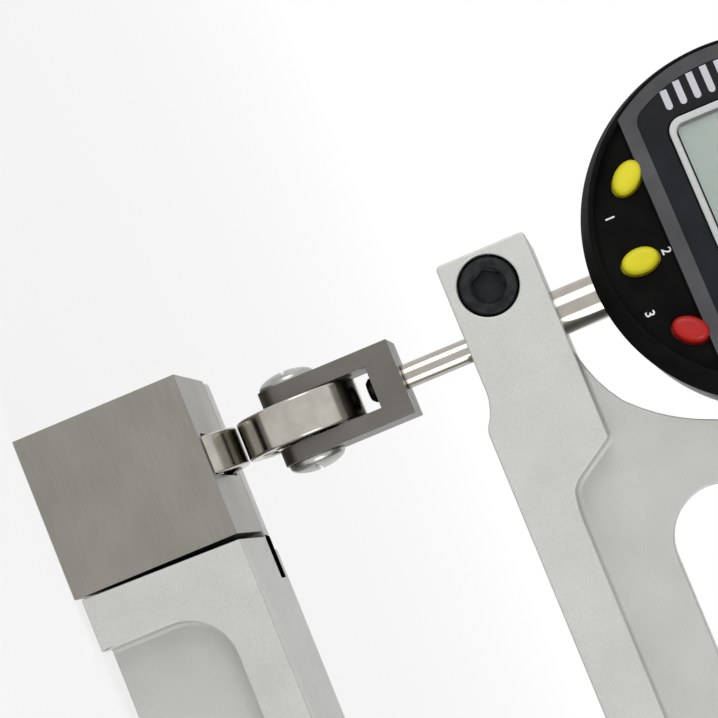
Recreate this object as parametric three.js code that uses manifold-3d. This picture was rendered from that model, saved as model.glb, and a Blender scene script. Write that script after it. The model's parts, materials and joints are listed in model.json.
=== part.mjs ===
// Roller film thickness gauge. A cast C-shaped frame carries a roller in a steel block on its
// lower arm and a digital indicator on its upper arm. A second roller, in a fork on the
// indicator's sprung plunger, rests on the film that runs between the two.
//
// Millimetres. X runs along the arms towards the closed end of the frame, Y from the front to
// the back, Z up along the plunger. The origin lies on the plunger's axis, in the bottom face
// of the anvil block. Heights in this file count from the nip, the line where film is gauged.

import * as THREE from 'three';
import { mergeVertices } from 'three/addons/utils/BufferGeometryUtils.js';
import Module from 'manifold-3d';

const wasm = await Module();
wasm.setup();

// Fits, and how far a cutter reaches past the face it opens
const gap = 0.3;
const past = 1;
const nipGap = 0.3;
const stroke = 12.5;

// Rollers: shielded deep groove ball bearings
const rollerDiameter = 22;
const rollerWidth = 7;
const rollerBore = 8;
const ballDiameter = 3.97;
const ballCircle = 15;
const ballCount = 7;
const ringChamfer = 0.6;
const shieldThickness = 0.4;
const shieldInset = 0.5;

// Axle heads and pins
const axleHeadDiameter = 10.2;
const axleHeadHeight = 2.3;
const axleScrewDiameter = 4.4;
const driverSlotWidth = 0.9;
const driverSlotDepth = 0.9;

// Fork
const forkWidth = 13.6;
const forkDepth = 14;
const forkEndWall = 5.1;
const forkTip = 5.9;
const forkRounding = 4.5;
const forkScrewDiameter = 2.4;
const forkScrewHead = 4.4;
const forkScrewHeadHeight = 1.6;
const forkScrewGrip = 5.6;

// Anvil block
const anvilWidth = 29;
const anvilDepth = 28;
const anvilHeight = 30.1;
const rollerProud = 4.5;
const anvilAxleWall = 3.9;
const setScrewDiameter = 4;
const setScrewLength = 6;
const setScrewInset = 5;
const anvilScrewSpread = 18;
const anvilScrewHeight = 6.6;
const anvilScrewDiameter = 4.4;
const anvilScrewHead = 9.5;
const anvilScrewHeadHeight = 2.7;
const anvilScrewGrip = 9;

// Frame casting
const frameFront = -14;
const frameBack = 22.5;
const webFront = -9;
const webBack = 17.5;
const webInset = 2;
const webRaise = 0.5;
const edgeRounding = 1.2;
const throatDepth = 120;
const throatTop = 40.9;
const throatBottom = -4.6;
const throatRounding = 12;
const ribHeight = 9.1;
const lowerRibHeight = 7.6;
const spineRibWidth = 9;
const spineWidth = 30;
const lowerArmBottom = -33.7;
const endBlockLength = 9;
const endBlockGap = 1;
const endBlockLean = 0.6;
const pocketRounding = 9;
const cornerRounding = 20;
const seatPlateThickness = 5.2;
const seatPlateCorner = 1;
const seatPlateNotch = 2.5;
const footInset = 8;
const footLength = 26;
const footRoot = 3;
const handleWall = 17.7;
const handleCorner = 5;

// Boss that grips the indicator's stem
const bossBottom = 43.2;
const bossTop = 59.2;
const bossEnd = -14;
const bossBack = 14;
const bossShoulder = 22.9;
const bossCorner = 0.8;
const slopeLength = 9.5;
const slopeSink = 0.4;
const rampEnd = 14.7;
const rampLength = 5;
const slitWidth = 1.5;
const clampX = -7.8;
const clampZ = 50.3;
const clampDiameter = 5.7;
const clampHead = 10;
const clampHeadHeight = 6;
const clampHeadSunk = 0.6;
const clampLength = 18.5;
const clampHeadEdge = 0.6;
const clampSocket = 5;
const clampSocketDepth = 3;

// Clearance curve of the web round the dial
const webCurveX = -3.9;
const webCurveDrop = 10;
const webCurveSpare = 1.4;
const webCurveStart = 13;
const webCurveEndDrop = 23;
const webLipStart = 6.5;
const webLipHeight = 0.3;

// Finger slot of the handle
const slotStart = 37.1;
const slotBottom = 62.1;
const slotHeight = 18.2;
const slotLength = 80;

// Stem, plunger and bushes
const plungerDiameter = 4.4;
const stemDiameter = 8;
const stemWall = 0.6;
const stemBottom = 43.6;
const bushWall = 0.6;
const lowerBushLength = 12;
const lowerPadHeight = 4.5;
const upperPadHeight = 5.1;
const padWidth = 20;
const padShoulder = 2;
const padRoot = 0.5;
const sleeveDiameter = 9;
const sleeveWall = 1.1;
const sleeveRise = 10.9;
const sleeveCollarDiameter = 11.6;
const sleeveCollarHeight = 2.4;
const upperBushLength = 12;
const knobDiameter = 12;
const knobHeight = 7.7;
const knobGap = 0.8;
const knobGrip = 3.5;

// Indicator head. Its stem is clamped with the face turned a little away from the handle.
const headTurn = THREE.MathUtils.degToRad(-8.5);
const dialRaise = 7.3;
const dialDiameter = 63.6;
const dialFront = -14;
const dialJoint = -6;
const dialBack = 10;
const bezelWall = 3.2;
const frontTaper = 1.8;
const frontRounding = 0.4;
const bezelBand = 1.5;
const rimWidth = 0.6;
const facetReach = 2.7;
const facetDrop = 1.2;
const panelThickness = 1.4;
const housingInset = 0.6;
const housingWall = 2.4;
const housingBand = 4;
const backTaper = 1;
const coverInset = 0.2;
const coverThickness = 2.3;
const postInset = 1.6;
const postDiameter = 5;
const bezelPostDiameter = 4.4;
const postHole = 2.4;
const coverScrewDiameter = 1.8;
const coverScrewHead = 3.8;
const coverScrewHeadHeight = 1.3;
const coverScrewReach = -9.2;
const keyZoneTop = -17.5;
const keyZoneDepth = 0.8;

// Display
const displayWidth = 40.6;
const displayHeight = 24.6;
const displayCentre = 2;
const displayBorder = 1.2;
const displayCorner = 2.5;
const displayFront = -13.4;
const displayBack = -9.5;
const windowInset = 0.5;
const windowThickness = 0.8;
const glassFront = -11.8;
const glassThickness = 2;
const stripLength = 34;
const stripHeight = 2;
const boardFront = -8;
const boardThickness = 1.4;
const postMouth = 1.1;

// Buttons
const keyLength = 6.4;
const keyWidth = 4.3;
const keyFlange = 0.7;
const keyFlangeHeight = 0.6;
const keyProud = 0.1;
const keyStroke = 0.6;
const switchSize = 4;

// Measuring carriage, guide rod and spring
const carriageBottom = -10;
const carriageHeight = 12;
const carriageLeft = -10;
const carriageRight = 5;
const carriageFront = -5.2;
const carriageBack = 5.5;
const scaleWidth = 8;
const scaleLength = 26;
const scaleThickness = 1;
const guideDiameter = 2;
const guideX = -8;
const carriageScrewDiameter = 2;
const springDiameter = 6.8;
const springWire = 0.7;
const springTurns = 7;

// Battery and data socket
const batteryDiameter = 11.6;
const batteryThickness = 5.4;
const batteryX = 14;
const batteryZ = -4;
const cupWall = 1.2;
const capDiameter = 15;
const capThickness = 1;
const capSlotWidth = 1.4;
const portTurn = -THREE.MathUtils.degToRad(35);
const portLength = 9.4;
const portHeight = 4.4;
const portCentreY = 1.5;
const portThickness = 2.8;
const portProud = 0.4;

// Heights and radii that follow
const rollerRadius = rollerDiameter / 2;
const rollerZ = nipGap / 2 + rollerRadius;
const slotHalf = rollerWidth / 2 + gap;
const axleRadius = rollerBore / 2 - gap;
const anvilTop = -(rollerProud + nipGap / 2);
const anvilBottom = anvilTop - anvilHeight;
const anvilBack = anvilDepth / 2;
const clampSeat = frameFront + clampHeadSunk + clampHeadHeight;
const seatPlateBack = anvilBack + gap + seatPlateThickness;
const boardBack = boardFront + boardThickness;
const forkTop = bossBottom - stroke - gap;
const plungerRadius = plungerDiameter / 2;
const bushInner = plungerRadius + gap;
const bushOuter = bushInner + bushWall;
const stemRadius = stemDiameter / 2;
const dialRadius = dialDiameter / 2;
const dialHeight = bossTop + dialRaise + dialRadius;
const housingRadius = dialRadius - housingInset;
const housingInner = housingRadius - housingWall;
const padBottomTop = lowerPadHeight - housingInner;
const padTopBottom = housingInner - upperPadHeight;
const panelFront = dialFront + facetDrop;
const panelBack = panelFront + panelThickness;
const bezelInner = dialRadius - bezelWall;
const frontRadius = dialRadius - frontTaper;
const facetOuter = frontRadius - rimWidth;
const facetInner = frontRadius - facetReach;
const housingBackRadius = housingRadius - backTaper;
const postRadius = bezelInner - postInset;
const webCurveZ = dialHeight - webCurveDrop;
const webCurveRadius = dialRadius + webCurveSpare;
const webCurveEnd = dialHeight - webCurveEndDrop;
const handleTop = slotBottom + slotHeight + handleWall;
const endBlockStart = anvilWidth / 2 + endBlockGap;
const seatPlateEnd = endBlockStart + seatPlateNotch;
const footStart = throatDepth - footInset;
const coverBack = dialBack + coverThickness;
const sleeveTop = housingRadius + sleeveRise;

const finishes = {
  castPaint: [0xc6c7c1, 0.45, 0.2],
  groundSteel: [0x8e8c86, 0.38, 0.9],
  bearingSteel: [0xb9b8b4, 0.18, 1],
  blackOxide: [0x1e2021, 0.45, 0.6],
  zincPlate: [0xa7a8a4, 0.3, 0.9],
  chrome: [0xd2d0cc, 0.12, 1],
  bronze: [0xa87b45, 0.4, 0.9],
  springSteel: [0x9a9a98, 0.3, 1],
  blackPlastic: [0x212124, 0.4, 0],
  zincDieCast: [0x9da0a1, 0.45, 0.7],
  silverTrim: [0xcdcfd0, 0.3, 0.8],
  clearPlastic: [0xdfe6e4, 0.1, 0],
  displayGlass: [0xa3b2a5, 0.25, 0],
  greenBoard: [0x1f5a3a, 0.5, 0],
  blackRubber: [0x2a2a2b, 0.8, 0],
  yellowKey: [0xe6dc30, 0.4, 0],
  redKey: [0xc3211e, 0.4, 0],
};
for (const [name, [color, roughness, metalness]] of Object.entries(finishes)) {
  finishes[name] = new THREE.MeshStandardMaterial({ name, color, roughness, metalness });
}

// Solids

function solid(geometry) {
  const bare = geometry.clone();
  bare.deleteAttribute('normal');
  bare.deleteAttribute('uv');
  const merged = mergeVertices(bare, 1e-4);
  const points = merged.getAttribute('position').array;
  const index = merged.getIndex().array;
  const corner = [new THREE.Vector3(), new THREE.Vector3(), new THREE.Vector3()];
  const triangles = [];
  let volume = 0;
  for (let i = 0; i < index.length; i += 3) {
    const triangle = [index[i], index[i + 1], index[i + 2]];
    if (new Set(triangle).size < 3) continue;
    triangle.forEach((vertex, k) => corner[k].fromArray(points, vertex * 3));
    volume += corner[0].dot(corner[1].clone().cross(corner[2]));
    triangles.push(triangle);
  }
  if (volume < 0) triangles.forEach((triangle) => triangle.reverse());
  return new wasm.Manifold(new wasm.Mesh({
    numProp: 3,
    vertProperties: new Float32Array(points),
    triVerts: new Uint32Array(triangles.flat()),
  }));
}

function piece(name, body, finish) {
  const { vertProperties, triVerts } = body.getMesh();
  const geometry = new THREE.BufferGeometry();
  geometry.setAttribute('position', new THREE.BufferAttribute(vertProperties, 3));
  geometry.setIndex(new THREE.BufferAttribute(triVerts, 1));
  geometry.computeVertexNormals();
  const mesh = new THREE.Mesh(geometry, finish);
  mesh.name = name;
  return mesh;
}

function box([x0, x1], [y0, y1], [z0, z1]) {
  const geometry = new THREE.BoxGeometry(x1 - x0, y1 - y0, z1 - z0);
  return solid(geometry.translate((x0 + x1) / 2, (y0 + y1) / 2, (z0 + z1) / 2));
}

// A profile of [radius, place along the axis] points, turned round an axis through the origin.
function turned(axis, profile, sides) {
  const points = profile.map(([radius, along]) => new THREE.Vector2(radius, along));
  const geometry = new THREE.LatheGeometry(points, sides);
  if (axis === 'x') geometry.rotateZ(-Math.PI / 2);
  if (axis === 'z') geometry.rotateX(Math.PI / 2);
  return geometry;
}

function rod(axis, radius, from, to, sides = 20, [x, y, z] = [0, 0, 0]) {
  const profile = [[0, from], [radius, from], [radius, to], [0, to]];
  return solid(turned(axis, profile, sides).translate(x, y, z));
}

function tube(axis, inner, outer, from, to, sides = 24) {
  const profile = [[inner, from], [outer, from], [outer, to], [inner, to], [inner, from]];
  return solid(turned(axis, profile, sides));
}

// The corners of an outline, without the doubled ones where its lines and arcs meet
function corners(path, steps) {
  const points = path.getPoints(steps);
  return points.filter((point, i) => point.distanceTo(points.at(i - 1)) > 0.01);
}

// A shape drawn in X and Z, with its thickness along Y.
function slab(shape, front, back, rounding = 0, steps = 5) {
  const outline = new THREE.Shape(corners(shape, steps));
  outline.holes = shape.holes.map((hole) => new THREE.Path(corners(hole, steps)));
  const geometry = new THREE.ExtrudeGeometry(outline, {
    depth: back - front - 2 * rounding,
    bevelEnabled: rounding > 0,
    bevelThickness: rounding,
    bevelSize: rounding,
    bevelOffset: -rounding,
    bevelSegments: 1,
  });
  return solid(geometry.rotateX(Math.PI / 2).translate(0, back - rounding, 0));
}

// A shape drawn in Y and Z, with its thickness along X.
function plate(shape, left, right, steps = 4) {
  const geometry = new THREE.ExtrudeGeometry(shape, {
    depth: right - left,
    curveSegments: steps,
    bevelEnabled: false,
  });
  const turn = new THREE.Matrix4().set(0, 0, 1, left, 1, 0, 0, 0, 0, 1, 0, 0, 0, 0, 0, 1);
  return solid(geometry.applyMatrix4(turn));
}

function roundedRectangle(width, height, radius, z = 0) {
  const right = width / 2 - radius;
  const top = height / 2 - radius;
  const shape = new THREE.Shape();
  shape.absarc(right, z + top, radius, 0, Math.PI / 2, false);
  shape.absarc(-right, z + top, radius, Math.PI / 2, Math.PI, false);
  shape.absarc(-right, z - top, radius, Math.PI, Math.PI * 1.5, false);
  shape.absarc(right, z - top, radius, Math.PI * 1.5, Math.PI * 2, false);
  return shape;
}

function hexagonHole(axis, acrossFlats, from, to, place) {
  return rod(axis, acrossFlats / Math.sqrt(3), from, to, 6, place);
}

// Rollers, made about their own centre with the axle along X

const ballGap = 0.2;
const outerGroove = (ballCircle + ballDiameter) / 2 + ballGap;
const innerGroove = (ballCircle - ballDiameter) / 2 - ballGap;
const outerShoulder = outerGroove - 0.7;
const innerShoulder = innerGroove + 0.75;
const grooveHalf = ballDiameter / 2;

function outerRing() {
  const half = rollerWidth / 2;
  const profile = [
    [rollerRadius - ringChamfer, -half],
    [rollerRadius, -half + ringChamfer],
    [rollerRadius, half - ringChamfer],
    [rollerRadius - ringChamfer, half],
    [outerShoulder, half],
    [outerShoulder, grooveHalf],
    [outerGroove, grooveHalf / 2],
    [outerGroove, -grooveHalf / 2],
    [outerShoulder, -grooveHalf],
    [outerShoulder, -half],
    [rollerRadius - ringChamfer, -half],
  ];
  return solid(turned('x', profile, 36));
}

function innerRing() {
  const half = rollerWidth / 2;
  const bore = rollerBore / 2;
  const profile = [
    [bore, -half],
    [innerShoulder, -half],
    [innerShoulder, -grooveHalf],
    [innerGroove, -grooveHalf / 2],
    [innerGroove, grooveHalf / 2],
    [innerShoulder, grooveHalf],
    [innerShoulder, half],
    [bore, half],
    [bore, -half],
  ];
  return solid(turned('x', profile, 24));
}

function ballCage() {
  const barHalf = ballDiameter / 5;
  const middle = ballCircle / 2;
  let cage = tube('x', middle - barHalf / 2, middle + barHalf / 2, -barHalf, barHalf, 14);
  for (let i = 0; i < ballCount; i += 1) {
    const angle = (2 * Math.PI * i) / ballCount;
    const ball = new THREE.SphereGeometry(ballDiameter / 2, 6, 5);
    ball.translate(0, middle * Math.cos(angle), middle * Math.sin(angle));
    cage = cage.add(solid(ball));
  }
  return cage;
}

function shield(side) {
  const outside = rollerWidth / 2 - shieldInset;
  const faces = [side * outside, side * (outside - shieldThickness)].sort((a, b) => a - b);
  return tube('x', innerShoulder + gap, outerShoulder - gap, ...faces, 24);
}

function roller(prefix, z) {
  const group = new THREE.Group();
  group.position.z = z;
  group.add(
    piece(`${prefix}_outer_ring`, outerRing(), finishes.bearingSteel),
    piece(`${prefix}_inner_ring`, innerRing(), finishes.bearingSteel),
    piece(`${prefix}_ball_cage`, ballCage(), finishes.bearingSteel),
    piece(`${prefix}_shield_left`, shield(-1), finishes.bearingSteel),
    piece(`${prefix}_shield_right`, shield(1), finishes.bearingSteel),
  );
  return group;
}

// Fork and its axle

function fork() {
  const half = forkDepth / 2;
  const shape = new THREE.Shape();
  shape.moveTo(-half, forkTop);
  shape.lineTo(-half, forkTip + forkRounding);
  shape.absarc(-half + forkRounding, forkTip + forkRounding, forkRounding, Math.PI, Math.PI * 1.5, false);
  shape.absarc(half - forkRounding, forkTip + forkRounding, forkRounding, Math.PI * 1.5, Math.PI * 2, false);
  shape.lineTo(half, forkTop);
  const slotEnd = forkTop - forkEndWall;
  return plate(shape, -forkWidth / 2, forkWidth / 2)
    .subtract(box([-slotHalf, slotHalf], [-forkDepth, forkDepth], [0, slotEnd]))
    .subtract(rod('x', axleRadius + gap, -forkWidth, forkWidth, 24, [0, 0, rollerZ]))
    .subtract(rod('z', forkScrewDiameter / 2 + gap, slotEnd - 1, forkTop + 1, 16));
}

function forkScrew() {
  const seat = forkTop - forkEndWall;
  const head = forkScrewHead / 2;
  const shank = forkScrewDiameter / 2;
  const profile = [
    [0, seat - forkScrewHeadHeight],
    [head * 0.7, seat - forkScrewHeadHeight],
    [head, seat - forkScrewHeadHeight * 0.6],
    [head, seat],
    [shank, seat],
    [shank, forkTop + forkScrewGrip],
    [0, forkTop + forkScrewGrip],
  ];
  return solid(turned('z', profile, 16));
}

// The domed head of the axle sleeve and of the axle screw, standing on the fork's side
function axleHead(side) {
  const seat = forkWidth / 2;
  const radius = axleHeadDiameter / 2;
  const top = seat + axleHeadHeight;
  const profile = [
    [0, side * seat],
    [radius, side * seat],
    [radius, side * (seat + axleHeadHeight * 0.12)],
    [radius * 0.9, side * (seat + axleHeadHeight * 0.5)],
    [radius * 0.68, side * (seat + axleHeadHeight * 0.8)],
    [radius * 0.38, side * (top - axleHeadHeight * 0.04)],
    [0, side * top],
  ];
  const ends = [side * (top - driverSlotDepth), side * (top + 1)].sort((a, b) => a - b);
  const driver = box(ends, [-radius - 1, radius + 1], [-driverSlotWidth / 2, driverSlotWidth / 2]);
  return solid(turned('x', profile, 28)).subtract(driver);
}

function axleSleeve() {
  const end = forkWidth / 2 - gap;
  const floor = -forkWidth / 2 + 2;
  return axleHead(-1)
    .add(rod('x', axleRadius, -forkWidth / 2, end))
    .subtract(rod('x', axleScrewDiameter / 2 + gap, floor, end + 1));
}

function axleScrew() {
  const tip = -forkWidth / 2 + 2 + gap;
  return axleHead(1).add(rod('x', axleScrewDiameter / 2, tip, forkWidth / 2));
}

// Anvil block with the lower roller's pocket, axle bore and screw holes

const lowerAxleStart = -anvilWidth / 2 + 0.5;
const lowerAxleEnd = anvilWidth / 2 - anvilAxleWall - gap;
const setScrewTop = -rollerZ - axleRadius - gap;
const anvilScrewZ = anvilBottom + anvilScrewHeight;
const anvilScrewTip = anvilBack - anvilScrewGrip;
const setScrewX = setScrewInset - anvilWidth / 2;

function anvilBlock() {
  const half = anvilWidth / 2;
  const pocket = rollerRadius + gap + 0.1;
  const slot = [-slotHalf, slotHalf];
  let block = box([-half, half], [-anvilBack, anvilBack], [anvilBottom, anvilTop])
    .subtract(box(slot, [-pocket, pocket], [-rollerZ, 0]))
    .subtract(rod('x', pocket, ...slot, 36, [0, 0, -rollerZ]))
    .subtract(rod('x', axleRadius + gap, -half - 1, lowerAxleEnd + gap, 24, [0, 0, -rollerZ]))
    .subtract(rod('z', setScrewDiameter / 2 + gap, anvilBottom - 1, -rollerZ, 20, [setScrewX, 0, 0]));
  for (const side of [-1, 1]) {
    const place = [(side * anvilScrewSpread) / 2, 0, anvilScrewZ];
    const hole = anvilScrewDiameter / 2 + gap;
    block = block.subtract(rod('y', hole, anvilScrewTip - 1, anvilBack + 1, 20, place));
  }
  return block;
}

function lowerAxle() {
  return rod('x', axleRadius, lowerAxleStart, lowerAxleEnd, 24, [0, 0, -rollerZ]);
}

function setScrew() {
  const place = [setScrewX, 0, 0];
  const bottom = setScrewTop - setScrewLength;
  return rod('z', setScrewDiameter / 2, bottom, setScrewTop, 16, place)
    .subtract(hexagonHole('z', 2, bottom - past, bottom + 2, place));
}

function anvilScrew(side) {
  const head = anvilScrewHead / 2;
  const shank = anvilScrewDiameter / 2;
  const top = seatPlateBack + anvilScrewHeadHeight;
  const place = [(side * anvilScrewSpread) / 2, 0, anvilScrewZ];
  const profile = [
    [0, top],
    [head * 0.55, top],
    [head * 0.86, top - anvilScrewHeadHeight * 0.3],
    [head, seatPlateBack + 0.6],
    [head, seatPlateBack],
    [shank, seatPlateBack],
    [shank, anvilScrewTip],
    [0, anvilScrewTip],
  ];
  return solid(turned('y', profile, 16).translate(...place))
    .subtract(hexagonHole('y', 3, top - 1.6, top + 1, place));
}

// Frame casting

function throatPath(shape, inset) {
  const far = throatDepth + inset;
  const low = throatBottom - inset;
  const high = throatTop + inset;
  const radius = throatRounding + inset;
  shape.lineTo(far - radius, low);
  shape.absarc(far - radius, low + radius, radius, -Math.PI / 2, 0, false);
  shape.absarc(far - radius, high - radius, radius, 0, Math.PI / 2, false);
}

// The boss runs down to the arm's rib in a soft slope above, and in a short ramp below
const slopeEnd = bossShoulder + slopeLength;
const ribTop = throatTop + ribHeight;
const bossSlope = [
  [bossShoulder, bossTop],
  [bossShoulder + 0.07 * slopeLength, bossTop - 0.05 * (bossTop - ribTop)],
  [bossShoulder + 0.52 * slopeLength, bossTop - 0.78 * (bossTop - ribTop)],
  [bossShoulder + 0.67 * slopeLength, bossTop - 0.96 * (bossTop - ribTop)],
  [slopeEnd, ribTop - slopeSink],
];
const bossFoot = [
  [rampEnd, throatTop],
  [rampEnd - 0.42 * rampLength, throatTop + 0.6 * (bossBottom - throatTop)],
  [rampEnd - rampLength, bossBottom],
];

function ribShape() {
  const shape = new THREE.Shape();
  const outer = throatRounding + spineRibWidth;
  const far = throatDepth + spineRibWidth;
  const low = throatBottom - lowerRibHeight;
  const blockEnd = endBlockStart + endBlockLength;
  shape.moveTo(endBlockStart, throatBottom);
  throatPath(shape, 0);
  shape.lineTo(rampEnd, throatTop);
  shape.lineTo(rampEnd, ribTop);
  shape.absarc(far - outer, ribTop - outer, outer, Math.PI / 2, 0, true);
  shape.absarc(far - outer, low + outer, outer, 0, -Math.PI / 2, true);
  shape.absarc(blockEnd + pocketRounding, low - pocketRounding, pocketRounding, Math.PI / 2, Math.PI, false);
  shape.lineTo(blockEnd, lowerArmBottom);
  shape.lineTo(endBlockStart - endBlockLean, lowerArmBottom);
  return shape;
}

function bossShape() {
  const shape = new THREE.Shape();
  const inset = bossEnd + bossCorner;
  shape.absarc(inset, bossTop - bossCorner, bossCorner, Math.PI, Math.PI / 2, true);
  for (const [x, z] of bossSlope) shape.lineTo(x, z);
  shape.lineTo(slopeEnd, throatTop);
  for (const [x, z] of bossFoot) shape.lineTo(x, z);
  shape.absarc(inset, bossBottom + bossCorner, bossCorner, -Math.PI / 2, -Math.PI, true);
  return shape;
}

function fingerSlot() {
  const radius = slotHeight / 2;
  const z = slotBottom + radius;
  const path = new THREE.Path();
  path.absarc(slotStart + radius, z, radius, Math.PI / 2, Math.PI * 1.5, false);
  path.absarc(slotStart + slotLength - radius, z, radius, -Math.PI / 2, Math.PI / 2, false);
  return path;
}

function webShape() {
  const shape = new THREE.Shape();
  const far = throatDepth + spineWidth;
  const low = lowerArmBottom + webRaise;
  const startAngle = -Math.acos((webCurveStart - webCurveX) / webCurveRadius);
  const endAngle = Math.asin((webCurveEnd - webCurveZ) / webCurveRadius);
  const tangentX = webCurveX + webCurveRadius * Math.cos(endAngle);
  const lean = -Math.tan(endAngle);
  const cornerZ = handleTop - handleCorner;
  const cornerX = tangentX + (cornerZ - webCurveEnd) * lean;
  shape.moveTo(endBlockStart + webInset, throatBottom - webInset);
  throatPath(shape, webInset);
  shape.lineTo(rampEnd, throatTop + webInset);
  shape.lineTo(webLipStart, bossTop - webInset);
  shape.lineTo(webLipStart, bossTop + webLipHeight);
  shape.absarc(webCurveX, webCurveZ, webCurveRadius, startAngle, endAngle, false);
  shape.lineTo(cornerX, cornerZ);
  shape.quadraticCurveTo(cornerX + handleCorner * lean, handleTop, cornerX + handleCorner * 1.4, handleTop);
  shape.absarc(far - cornerRounding, handleTop - cornerRounding, cornerRounding, Math.PI / 2, 0, true);
  shape.absarc(far - cornerRounding, low + cornerRounding, cornerRounding, 0, -Math.PI / 2, true);
  shape.lineTo(endBlockStart + webInset, low);
  shape.holes.push(fingerSlot());
  return shape;
}

function seatPlate() {
  const left = -anvilWidth / 2;
  const right = endBlockStart + endBlockLength;
  const shape = new THREE.Shape();
  shape.moveTo(left + seatPlateCorner, throatBottom);
  shape.lineTo(right, throatBottom);
  shape.lineTo(right, lowerArmBottom);
  shape.lineTo(left + seatPlateCorner, lowerArmBottom);
  shape.lineTo(left, lowerArmBottom + seatPlateCorner);
  shape.lineTo(left, throatBottom - seatPlateCorner);
  return slab(shape, anvilBack + gap, seatPlateBack);
}

const boreRadius = stemRadius + gap;

function frame() {
  const clampPlace = [clampX, 0, clampZ];
  const boltHole = clampDiameter / 2 + gap;
  let casting = slab(ribShape(), frameFront, frameBack, edgeRounding)
    .add(slab(webShape(), webFront, webBack, edgeRounding))
    .add(slab(bossShape(), frameFront, bossBack))
    .subtract(box([-anvilWidth, seatPlateEnd], [seatPlateBack, frameBack + past], [anvilBottom, 0]))
    .add(seatPlate())
    .add(box([footStart, footStart + footLength], [webFront, webBack], [anvilBottom, lowerArmBottom + footRoot]))
    .subtract(rod('z', boreRadius, bossBottom - past, bossTop + past, 24))
    .subtract(box([bossEnd - past, 0], [-slitWidth / 2, slitWidth / 2], [bossBottom - past, bossTop + past]))
    .subtract(rod('y', boltHole, frameFront, clampSeat + clampLength + gap, 16, clampPlace))
    .subtract(rod('y', clampHead / 2 + gap, frameFront - past, clampSeat, 32, clampPlace));
  for (const side of [-1, 1]) {
    const place = [(side * anvilScrewSpread) / 2, 0, anvilScrewZ];
    casting = casting.subtract(rod('y', anvilScrewDiameter / 2 + gap, anvilBack, frameBack, 20, place));
  }
  return casting;
}

function clampBolt() {
  const top = frameFront + clampHeadSunk;
  const head = clampHead / 2;
  const shank = clampDiameter / 2;
  const place = [clampX, 0, clampZ];
  const profile = [
    [0, top],
    [head - clampHeadEdge, top],
    [head, top + clampHeadEdge],
    [head, clampSeat],
    [shank, clampSeat],
    [shank, clampSeat + clampLength],
    [0, clampSeat + clampLength],
  ];
  return solid(turned('y', profile, 32).translate(...place))
    .subtract(hexagonHole('y', clampSocket, top - past, top + clampSocketDepth, place));
}

// Stem, plunger, bushes and knob, with heights from the nip

const plungerTop = dialHeight + sleeveTop + knobGap + knobGrip - gap;
const stemTop = dialHeight + padBottomTop - padShoulder - gap;

function plunger() {
  const hole = forkScrewDiameter / 2 + gap;
  const holeTop = forkTop + forkScrewGrip + gap;
  const profile = [
    [0, holeTop],
    [hole, holeTop],
    [hole, forkTop],
    [plungerRadius, forkTop],
    [plungerRadius, plungerTop],
    [0, plungerTop],
  ];
  return solid(turned('z', profile, 24));
}

function liftKnob() {
  const bottom = dialHeight + sleeveTop + knobGap;
  const radius = knobDiameter / 2;
  const profile = [
    [0, bottom + knobGrip],
    [plungerRadius + gap, bottom + knobGrip],
    [plungerRadius + gap, bottom],
    [radius - 0.6, bottom],
    [radius, bottom + 0.6],
    [radius, bottom + knobHeight - 1.6],
    [radius - 1, bottom + knobHeight - 0.4],
    [0, bottom + knobHeight],
  ];
  return solid(turned('z', profile, 24));
}

// Indicator head, made about the dial's centre

const postAngles = [50, 130, 218, 322].map(THREE.MathUtils.degToRad);
const posts = postAngles.map((angle) => [
  postRadius * Math.cos(angle), 0, postRadius * Math.sin(angle),
]);

const keyTurn = Math.atan2(0.64, 0.77);
const keys = [
  { name: 'unit', x: -14.1, z: -19.7, turn: -keyTurn, finish: finishes.yellowKey },
  { name: 'mode', x: 0, z: -23, turn: 0, finish: finishes.yellowKey },
  { name: 'power', x: 14.1, z: -19.7, turn: keyTurn, finish: finishes.redKey },
];

// An upright oval of a turned profile, leaned to the key's own angle
function keyOval(profile, key) {
  const geometry = turned('y', profile, 18);
  geometry.scale(1, 1, keyLength / keyWidth);
  geometry.rotateY(key.turn).translate(key.x, 0, key.z);
  return solid(geometry);
}

function keyHole(key) {
  const radius = keyWidth / 2 + gap;
  return keyOval([[0, dialFront - 1], [radius, dialFront - 1], [radius, panelBack + 1], [0, panelBack + 1]], key);
}

function button(key) {
  const front = dialFront - keyProud;
  const cap = keyWidth / 2;
  const flange = cap + keyFlange;
  const seat = panelBack + gap;
  return keyOval([
    [0, front],
    [cap * 0.6, front + 0.15],
    [cap * 0.9, front + 0.5],
    [cap, front + 1],
    [cap, seat],
    [flange, seat],
    [flange, seat + keyFlangeHeight],
    [0, seat + keyFlangeHeight],
  ], key);
}

function keySwitch(key) {
  const half = switchSize / 2;
  const top = panelBack + gap + keyFlangeHeight + keyStroke + gap;
  return box([key.x - half, key.x + half], [top + gap, boardFront], [key.z - half, key.z + half])
    .add(rod('y', half / 2, top, boardFront, 12, [key.x, 0, key.z]));
}

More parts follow.
